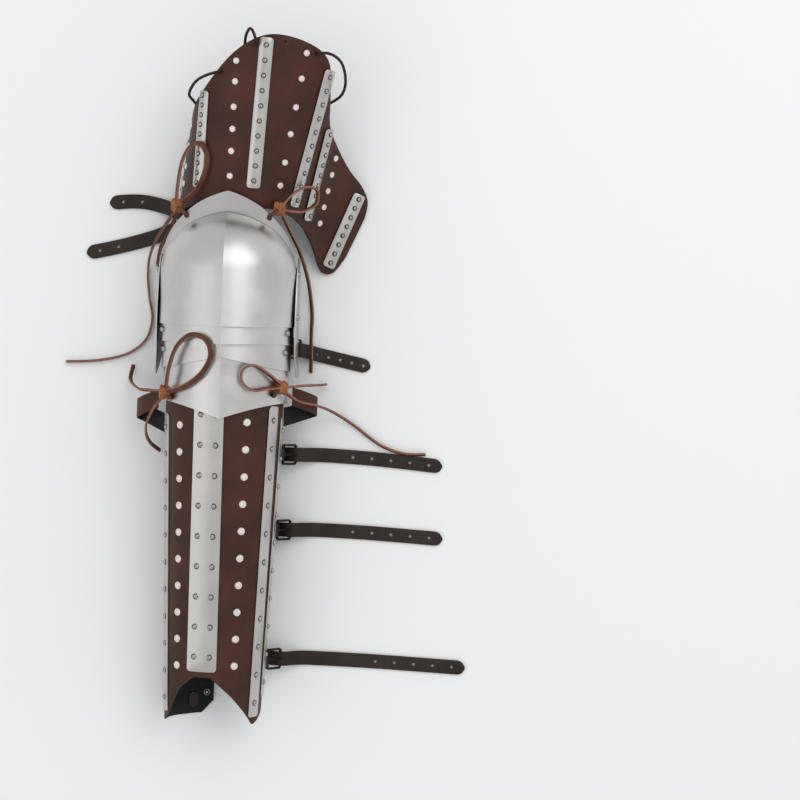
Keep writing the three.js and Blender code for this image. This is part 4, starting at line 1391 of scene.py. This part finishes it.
@dataclass
class Straps:
    """All straps, tabs and buckles, with the set of a buckle seen along the leg."""

    finishes: Finishes
    greave: Greave
    thigh: ThighGuard
    width: float = 17.0
    thickness: float = 2.6
    tip: float = 9.0
    hole_pitch: float = 23.0
    first_hole: float = 16.0
    side_tab_width: float = 22.0
    bar: float = 2.6
    reach: float = 19.8
    tilt: float = 45.0
    hang_z: float = 27.0
    greave_free: float = 176.0
    knee_yaw: float = -11.8
    knee_free: float = 88.0
    tab_width: float = 14.0
    tab_thickness: float = 2.0
    rows: tuple[BuckledStrap, ...] = (
        BuckledStrap("upper", 0.205, 1.0, -9.0),
        BuckledStrap("middle", 0.433, 1.04, -6.0),
        BuckledStrap("lower", 0.823, 1.26, -6.0),
    )

    def __post_init__(self) -> None:
        """Works out the strap's climb over the buckle's outer bar."""
        self.low_z = self.thickness / 2
        self.bar_out = self.reach * math.cos(math.radians(self.tilt))
        bar_down = self.reach * math.sin(math.radians(self.tilt))
        over = self.hang_z - bar_down + self.bar * 0.71 + self.thickness / 2 + 2 * SEAT_GAP
        rise = over - self.low_z
        self.climb = [
            (out, self.low_z + rise * share)
            for out, share in (
                (-28, 0),
                (-15, 0.03),
                (-6, 0.3),
                (1, 0.6),
                (8, 0.9),
                (self.bar_out + 1, 1),
                (self.bar_out + 7, 0.94),
                (self.bar_out + 16, 0.45),
                (self.bar_out + 24, 0.12),
                (self.bar_out + 34, 0),
            )
        ]

    def add(
        self, node: str, body: Body, route: Route, width: float, thickness: float, tip: float = 0.0,
        holes: Sequence[float] = (), lining: int = 0,
    ) -> None:
        """Makes a strap or tab in place of its CAD node.

        Args:
            node: The CAD node.
            body: The body that it rides on.
            route: Its way.
            width: Its width.
            thickness: Its thickness.
            tip: Length of its pointed end.
            holes: Distances of its holes from its end.
            lining: The side of a brown tab that is near-black as painted shade inside its fold, 1 or -1, or 0 for
                a strap.
        """
        obj = strap_object(f"{node}_leather", route, width, thickness, tip, holes, lining=lining)
        leathers = [self.finishes.strap, self.finishes.strap_edge]
        if lining:
            # The lining side takes the near-black leather that paints the shade inside the fold.
            leathers = [self.finishes.brown, self.finishes.edge, self.finishes.inside]
        dress(obj, body, Slot.BROWN_LEATHER if lining else Slot.STRAP_LEATHER, leathers, [node], sharp=35.0)

    def buckle(self, node: str, body: Body) -> None:
        """Dresses a buckle with rounded edges."""
        obj = merged_copy(node, f"{node}_frame")
        dress(obj, body, Slot.BLACK_IRON, [self.finishes.iron], [node], bevel=0.45, sharp=40.0)

    def hanging_tab(self, riveted: Vector, bar: Vector, wide: Vector, slack: float = 0.0) -> Route:
        """Way of a tab from its riveted end down to the buckle's inner bar."""
        end = bar + Vector((0, 0, self.bar * 0.71 + 3 * SEAT_GAP + slack))
        shoulder = Vector((riveted.x, lerp(riveted.y, end.y, 0.3), lerp(riveted.z, end.z, 0.5)))
        return Route([Stop(riveted, ALONG_LEG), Stop(shoulder, ALONG_LEG), Stop(end, wide)], straight=True)

    def greave_strap(self, row: BuckledStrap) -> None:
        """Makes one of the greave's straps with its buckle and tab."""
        y = self.greave.top_y - self.greave.length * row.share
        centre = lerp(*self.greave.centres, row.share)
        half = lerp(*self.greave.half_widths, row.share)
        depth = lerp(*self.greave.half_depths, row.share)
        tab_x = centre + half + SEAT_GAP + self.tab_thickness / 2
        hang = Vector((tab_x + 0.5, y, self.hang_z))
        end = hang.x + self.bar_out + self.greave_free * row.free
        stops = [(centre - 18, y, self.low_z), (centre + 18, y, self.low_z)]
        stops += [(hang.x + out, y, z) for out, z in self.climb]
        stops += [
            (lerp(hang.x + self.bar_out + 34, end, 0.4), y + row.turn * 0.25, self.low_z),
            (end, y + row.turn, self.low_z),
        ]
        route = Route([Stop(Vector(at), ALONG_LEG) for at in stops])
        holes = [self.first_hole + k * self.hole_pitch for k in range(5)]
        name = f"greave_strap_{row.level}"
        self.add(name, Body.GREAVE, route, self.width, self.thickness, self.tip, holes)
        riveted = Vector((tab_x, y, self.greave.back_z + depth - 3))
        tab = self.hanging_tab(riveted, hang, ALONG_LEG)
        self.add(f"greave_buckle_tab_{row.level}", Body.GREAVE, tab, self.tab_width, self.tab_thickness)
        self.buckle(f"greave_buckle_{row.level}", Body.GREAVE)

    def knee_strap(self, knee: Knee) -> None:
        """Makes the strap behind the knee with its buckle and tab."""
        yaw = math.radians(self.knee_yaw)
        wide = Vector((math.sin(-yaw), math.cos(yaw), 0.0))
        left = KNEE_CENTRE_X - (knee.half_width + SEAT_GAP) + SEAT_GAP + self.thickness / 2
        buckle_x = knee.half_width - 9

        def on(x: float, z: float) -> Vector:
            return Vector((x, -KNEE_STRAP_BEHIND + x * math.tan(yaw), z))

        stops = [
            Stop(on(left, KNEE_AXIS_Z - knee.wing_drop - 5), ALONG_LEG),
            Stop(on(left, 28), ALONG_LEG),
            Stop(on(left + 2.5, 14), wide),
            Stop(on(left + 9, 4.5), wide),
            Stop(on(left + 20, self.low_z), wide),
            Stop(on(0, self.low_z), wide),
        ]
        stops += [Stop(on(buckle_x + out * math.cos(yaw), z), wide) for out, z in self.climb]
        far = buckle_x + (self.bar_out + self.knee_free) * math.cos(yaw)
        stops.append(Stop(on(far, self.low_z), wide))
        holes = [(14 + k * self.hole_pitch) * 0.62 for k in range(5)]
        self.add("knee_strap", Body.KNEE, Route(stops), self.width, self.thickness, self.tip, holes)
        hang = on(buckle_x, self.hang_z)
        x = KNEE_CENTRE_X + knee.half_width + SEAT_GAP - SEAT_GAP - self.tab_thickness / 2
        riveted = Vector((x, hang.y, KNEE_AXIS_Z - knee.wing_drop - 6))
        tab = self.hanging_tab(riveted, hang, wide, 2 * SEAT_GAP)
        self.add("knee_buckle_tab", Body.KNEE, tab, self.tab_width, self.tab_thickness)
        self.buckle("knee_buckle", Body.KNEE)

    def side_tab(self, name: str, out: int, y: float, shift: float) -> None:
        """Makes a folded tab between the lower plate's corner and the greave's side.

        Args:
            name: The CAD node.
            out: -1 to the left, 1 to the right.
            y: Where it starts.
            shift: How far it moves along the leg.
        """
        share = self.greave.share(y)
        start = lerp(*self.greave.half_widths, share) + SEAT_GAP + self.tab_thickness / 2
        centre = lerp(*self.greave.centres, share)
        fold = (
            (0, 0, 60), (9, 0.12, 48), (23, 0.33, 36), (33, 0.48, 29),
            (37, 0.55, 33), (31, 0.7, 45), (18, 0.89, 56), (9, 1, 61),
        )
        stops = [Stop(Vector((centre + out * (start + o), y + shift * s, z)), ALONG_LEG) for o, s, z in fold]
        self.add(name, Body.GREAVE, Route(stops), self.side_tab_width, self.tab_thickness, lining=out)

    def thigh_strap(self, name: str, u: float, v: float, tip: tuple[float, float], bow: float) -> None:
        """Makes a free strap end of the thigh guard, which drops to the floor and runs out there.

        Args:
            name: The CAD node.
            u: Place of its root across the guard.
            v: Place of its root along the guard.
            tip: Place of its end, as shares of the guard's width and length.
            bow: How far it bows.
        """
        smith = SplintSmith(self.thigh.surface, Body.THIGH, self.finishes)
        place, normal, _ = smith.frame_on(u, v)
        root = place + normal * (SEAT_GAP + self.thickness / 2)
        end = Vector((self.thigh.size[0] * tip[0], self.thigh.size[1] * tip[1], self.low_z))
        along = end - root
        flat = Vector((along.x, along.y, 0)).normalized()
        stops = []
        for s in (0, 0.08, 0.16, 0.26, 0.36, 0.5, 0.66, 0.83, 1):
            p = root.lerp(end, s)
            p.y += bow * math.sin(math.pi * s)
            p.z = self.low_z + (root.z - self.low_z) * (1 - ease(s / 0.4))
            turn = bow * math.pi * math.cos(math.pi * s) / along.length
            ahead = (flat + Vector((0, turn, 0))).normalized()
            stops.append(Stop(p, Vector((-ahead.y, ahead.x, 0))))
        holes = (self.first_hole, self.first_hole + self.hole_pitch)
        self.add(name, Body.THIGH, Route(stops), self.width, self.thickness, self.tip, holes)

    def build(self, knee: Knee) -> None:
        """Makes all straps, tabs and buckles."""
        for row in self.rows:
            self.greave_strap(row)
        self.knee_strap(knee)
        self.side_tab("side_tab_left", -1, -178.0, 28.0)
        self.side_tab("side_tab_right", 1, -166.0, 24.0)
        self.thigh_strap("thigh_strap_upper", 0.72, 0.13, (-0.75, 0.415), 9.0)
        self.thigh_strap("thigh_strap_lower", 0.6, 0.02, (-0.878, 0.11), -3.0)


# Laces


@dataclass
class Run:
    """A stretch of lace: its name, its points at the knee, and whether it comes back to the knot."""

    name: str
    points: tuple[tuple[float, float, float], ...]
    returns: bool = False
    lean: tuple[float, float, float] = (0.5, 0.15, 0.85)


@dataclass
class Lace:
    """A lace tied in a bow, or a loop of lace through two holes."""

    node: str
    body: Body
    runs: tuple[Run, ...]
    knot: tuple[float, float, float] | None = None
    stitch: tuple[tuple[float, float, float], ...] = ()
    along: tuple[float, float, float] = (0.3, 1.0, 0.2)


LACES: tuple[Lace, ...] = (
    Lace(
        "lace_upper_left",
        Body.THIGH,
        (
            Run(
                "bow",
                (
                    (-58, 76, 99), (-57, 99, 97), (-52, 127, 99), (-42, 142, 105), (-31, 143, 112),
                    (-23, 129, 111), (-27, 107, 107), (-36, 90, 103), (-53, 75, 100),
                ),
                True,
            ),
            Run("short_end", ((-56, 69, 96), (-68, 48, 66), (-83, 29, 32), (-90, 10, 3))),
            Run(
                "long_end",
                (
                    (-57, 70, 96), (-75, 51, 68), (-93, 29, 30), (-101, 6, 4), (-98, -30, 3), (-94, -52, 3),
                    (-100, -78, 3), (-120, -96, 3), (-156, -106, 3), (-196, -109, 3),
                ),
            ),
        ),
        (-57, 73, 99),
        ((-55, 71, 102), (-50, 67, 112), (-45.2, 62.6, 111), (-45, 62, 97)),
    ),
    Lace(
        "lace_upper_right",
        Body.THIGH,
        (
            Run(
                "bow",
                (
                    (63.5, 75, 107), (75.3, 90, 102), (90.5, 99.5, 97), (102.5, 97.5, 91), (102, 82, 87),
                    (86.8, 72, 93), (65.5, 72, 106),
                ),
                True,
            ),
            Run(
                "long_end",
                (
                    (62.5, 70, 103), (72.5, 50, 84), (84.8, 24, 50), (93.5, -9, 14), (98, -44, 3), (98, -60, 9),
                    (98.5, -74, 17.5), (99, -91, 18.6), (99, -102, 12), (98.5, -112, 3),
                ),
            ),
        ),
        (61.5, 72.5, 105),
        ((60.5, 71.5, 107), (56, 67, 113), (50.3, 62.6, 112), (50, 62, 97)),
    ),
    Lace(
        "lace_lower_left",
        Body.GREAVE,
        (
            Run(
                "bow",
                (
                    (-61, -138, 111), (-56.5, -112, 122), (-46.5, -88, 132), (-29, -76, 144), (-12.8, -82, 148),
                    (-7.6, -98, 146), (-17, -118, 140), (-37.3, -134, 130), (-59, -141, 112),
                ),
                True,
            ),
            Run(
                "left_end",
                ((-63, -141, 107), (-85.7, -140, 84), (-102.6, -138, 44), (-117, -126, 8), (-114.5, -110, 3)),
            ),
            Run(
                "lower_end",
                ((-63, -145, 107), (-77.3, -160, 88), (-89, -182, 62), (-89, -202, 22), (-79, -212, 3)),
            ),
        ),
        (-62, -142, 109),
        ((-60, -143.6, 111), (-57, -146.6, 112), (-55.6, -147, 102)),
    ),
    Lace(
        "lace_lower_right",
        Body.GREAVE,
        (
            Run(
                "bow",
                (
                    (69, -128, 109), (54.6, -116, 123), (38.8, -108, 136), (28.8, -114, 139), (27.9, -126, 138),
                    (38.9, -136, 133), (54.8, -134, 122), (69, -132, 109),
                ),
                True,
            ),
            Run("short_end", ((73, -132, 105), (91.5, -129, 78), (106.5, -127.5, 36), (117, -126, 3))),
            Run(
                "long_end",
                (
                    (73, -136, 103), (88.8, -147, 76), (111.2, -152, 44), (129.7, -160, 12), (150, -172, 3),
                    (186, -197, 3), (214, -206, 3), (240, -206, 3),
                ),
            ),
        ),
        (71, -132, 106),
        ((68.5, -134, 109), (63.5, -140, 111), (62.4, -141, 101)),
    ),
    Lace(
        "lace_hip_left",
        Body.THIGH,
        (
            Run(
                "loop",
                (
                    (-7.6, 223.3, 129.3), (-10.1, 222.5, 134.1), (-22, 218, 139), (-36, 212, 130), (-46, 200, 112),
                    (-42, 194, 90), (-34, 184, 74),
                ),
                True,
            ),
        ),
    ),
    Lace(
        "lace_hip_front",
        Body.THIGH,
        (
            Run(
                "loop",
                (
                    (32.7, 252.6, 147), (32.3, 251.5, 152.4), (30, 261, 157.5), (25, 269, 152), (19, 264, 138),
                    (17, 252, 128),
                ),
                True,
            ),
        ),
    ),
    Lace(
        "lace_hip_right",
        Body.THIGH,
        (
            Run(
                "loop",
                (
                    (97.3, 247.8, 129.5), (100.4, 246.3, 134.1), (112, 247, 137), (126, 240, 129), (132, 222, 114),
                    (128, 208, 96), (117, 201, 84), (106, 197, 77),
                ),
                True,
            ),
        ),
    ),
)


@dataclass
class LaceMaker:
    """Makes the laces as free cords, their knots, and the stitches through the plates' holes."""

    finishes: Finishes
    diameter: float = 4.6
    hip_diameter: float = 3.4
    bow_width: float = 5.8
    end_width: float = 4.6
    thickness: float = 2.6
    knot_core: tuple[float, float, float] = (5.4, 7.4, 7.0)
    knot_turns: tuple[tuple[float, float, float], ...] = ((-3.9, 0.22, 6.4), (0.0, -0.1, 7.3), (3.9, 0.16, 6.2))
    knot_height: float = 0.66

    def flat(self, name: str, run: Run, width: float) -> tuple[bpy.types.Object, list[Vector]]:
        """A flat lace through points, standing on its edge.

        Args:
            name: The object's name.
            run: The stretch of lace.
            width: Its width.

        Returns:
            The object and the points of its centreline in the frame.
        """
        lift = Vector((0, 0, 0.8 if run.returns else 0.3))
        route = Route([Stop(Vector(p) + lift, ALONG_LEG) for p in run.points])
        route.free_of_twist(Vector(run.lean).normalized())
        obj = strap_object(name, route, width, self.thickness, step=2.2)
        count = max(15, int(route.length / 3))
        line = [TO_FRAME @ route.frame(route.length * k / (count - 1))[0] for k in range(count)]
        return obj, line

    def curve(
        self,
        name: str,
        points: Sequence[tuple[float, float, float]],
        diameter: float,
        leather: bpy.types.Material,
    ) -> bpy.types.Object:
        """A round lace through points.

        Args:
            name: The object's name.
            points: Its points at the knee, in millimetres.
            diameter: Its diameter.
            leather: Its leather.

        Returns:
            The curve object.
        """
        route = Route([Stop(Vector(p), ALONG_LEG) for p in points])
        count = int(clamp(math.ceil(route.length / 7.0), 15, 40))
        places = [TO_FRAME @ route.frame(route.length * k / (count - 1))[0] for k in range(count)]
        data = bpy.data.curves.new(name, "CURVE")
        data.dimensions = "3D"
        data.bevel_depth = diameter / 2 * MM
        data.bevel_resolution = 3
        data.resolution_u = 4
        data.use_fill_caps = True
        spline = data.splines.new("BEZIER")
        spline.bezier_points.add(count - 1)
        for point, place in zip(spline.bezier_points, places):
            point.co = place
            point.handle_left_type = "AUTO"
            point.handle_right_type = "AUTO"
        data.materials.append(leather)
        obj = bpy.data.objects.new(name, data)
        bpy.context.scene.collection.objects.link(obj)
        bpy.context.view_layer.update()
        return obj

    def knot(self, lace: Lace) -> bpy.types.Object:
        """Makes a wrapped knot in place.

        Args:
            lace: The lace that it ties.

        Returns:
            The knot.
        """
        centre = Vector(lace.knot)
        bm = bmesh.new()
        core = Matrix.Translation(centre) @ Matrix.Diagonal((*self.knot_core, 1.0))
        bmesh.ops.create_icosphere(bm, subdivisions=2, radius=1.0, matrix=core)
        along = Vector(lace.along).normalized()
        across = along.cross(Vector((0, 0, 1))).normalized()
        for shift, lean, radius in self.knot_turns:
            add_ring(bm, centre + across * shift, across + along * lean, radius, 2.1)
        add_ring(bm, centre - along * 1.5, along + across * 0.35, 5.9, 1.9)
        middle = Matrix.Translation(-centre)
        bmesh.ops.scale(bm, vec=(1.0, 1.0, self.knot_height), space=middle, verts=bm.verts)
        obj = new_object(f"{lace.node}_knot", bm)
        return dress(obj, lace.body, Slot.THONG, [self.finishes.knot], sharp=60.0)

    def stitch(self, lace: Lace) -> bpy.types.Object:
        """Makes the short stretch of lace from the knot into the plate's hole."""
        curve = self.curve(f"{lace.node}_stitch_line", lace.stitch, self.diameter, self.finishes.thong)
        obj = bpy.data.objects.new(f"{lace.node}_stitch", baked(curve))
        bpy.context.scene.collection.objects.link(obj)
        bpy.data.objects.remove(curve)
        return dress(obj, lace.body, Slot.THONG, [self.finishes.thong], sharp=60.0)

    def build(self) -> None:
        """Makes every lace."""
        for lace in LACES:
            pieces = [self.knot(lace), self.stitch(lace)] if lace.knot else []
            for k, run in enumerate(lace.runs):
                name = f"{lace.node}_{run.name}"
                if lace.knot:
                    width = self.bow_width if run.returns else self.end_width
                    cord, path = self.flat(name, run, width)
                    # Broad faces keep the darker lace leather as painted shade; the lighter edge copy paints the
                    # light on the narrow edges.
                    leathers = [self.finishes.thong, self.finishes.lit_thong_edge]
                    dress(cord, lace.body, Slot.THONG, leathers, [lace.node] if k == 0 else (), sharp=40.0)
                    length = sum((b - a).length for a, b in zip(path, path[1:]))
                    place, path = tuple(path[0]), [tuple(at) for at in path]
                else:
                    width, path = self.hip_diameter, None
                    cord = self.curve(name, run.points, width, self.finishes.hip)
                    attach(cord, lace.body.value)
                    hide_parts(lace.node)
                    length = cord.data.splines[0].calc_length()
                    place = tuple(cord.data.splines[0].bezier_points[0].co)
                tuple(place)
                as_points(path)
                LOG.info("%s: %.3f m of lace on %s", cord.name, length, lace.body.value)


# Studio


@dataclass(frozen=True)
class SoftBox:
    """A square area light: its place, what it faces, its size and its power."""

    place: tuple[float, float, float]
    target: tuple[float, float, float]
    size: float
    power: float

    def add(self) -> None:
        """Adds the light to the scene."""
        data = bpy.data.lights.new("soft_box", "AREA")
        data.size = self.size
        data.energy = self.power
        light = bpy.data.objects.new("soft_box", data)
        light.location = self.place
        toward = Vector(self.target) - Vector(self.place)
        light.rotation_euler = toward.to_track_quat("-Z", "Y").to_euler()
        bpy.context.scene.collection.objects.link(light)


@dataclass
class Studio:
    """A plain pale floor, soft light, and a camera straight above."""

    camera_place: tuple[float, float, float] = (0.2069, -0.0734, 2.2)
    camera_roll: float = 2.0
    lens: float = 82.24
    boxes: tuple[SoftBox, ...] = (
        SoftBox((1.15, 1.1, 2.2), (0.05, -0.05, 0.05), 1.8, 15.5),
        SoftBox((-1.7, -0.5, 1.9), (0.05, -0.05, 0.05), 1.6, 5.0),
    )

    def camera(self) -> None:
        """Adds the camera."""
        data = bpy.data.cameras.new("camera")
        data.lens = self.lens
        data.sensor_width = 36.0
        camera = bpy.data.objects.new("camera", data)
        camera.location = self.camera_place
        camera.rotation_euler = (0.0, 0.0, math.radians(self.camera_roll))
        bpy.context.scene.collection.objects.link(camera)
        bpy.context.scene.camera = camera

    def floor(self) -> None:
        """Adds the floor."""
        bm = bmesh.new()
        bmesh.ops.create_grid(bm, x_segments=1, y_segments=1, size=6.0)
        obj = new_object("studio_floor", bm, scale=False)
        obj.location.z = -0.0005
        graph = Graph("pale_floor")
        graph.set(Base_Color=(0.93, 0.93, 0.93, 1.0), Roughness=0.9, Specular_IOR_Level=0.1)
        obj.data.materials.append(graph.material)

    def light(self) -> None:
        """Adds the world's light and the soft boxes."""
        world = bpy.data.worlds.new("studio")
        world.use_nodes = True
        background = world.node_tree.nodes["Background"]
        background.inputs["Color"].default_value = (0.93, 0.94, 0.95, 1.0)
        background.inputs["Strength"].default_value = 0.8
        bpy.context.scene.world = world
        bpy.context.scene.view_settings.view_transform = "Standard"
        for box in self.boxes:
            box.add()

    def build(self) -> None:
        """Sets the studio up."""
        self.camera()
        self.floor()
        self.light()


def main() -> None:
    """Builds the studio and every sub-assembly in order."""
    logging.basicConfig(level=logging.INFO, format="%(name)s: %(message)s")
    Studio().build()
    finishes = Finishes()
    LaceMaker(finishes).build()
    knee = Knee(finishes)
    knee.build()
    greave = Greave(finishes)
    greave.build()
    thigh = ThighGuard(finishes)
    thigh.build()
    Straps(finishes, greave, thigh).build(knee)


if __name__ == "__main__":
    main()
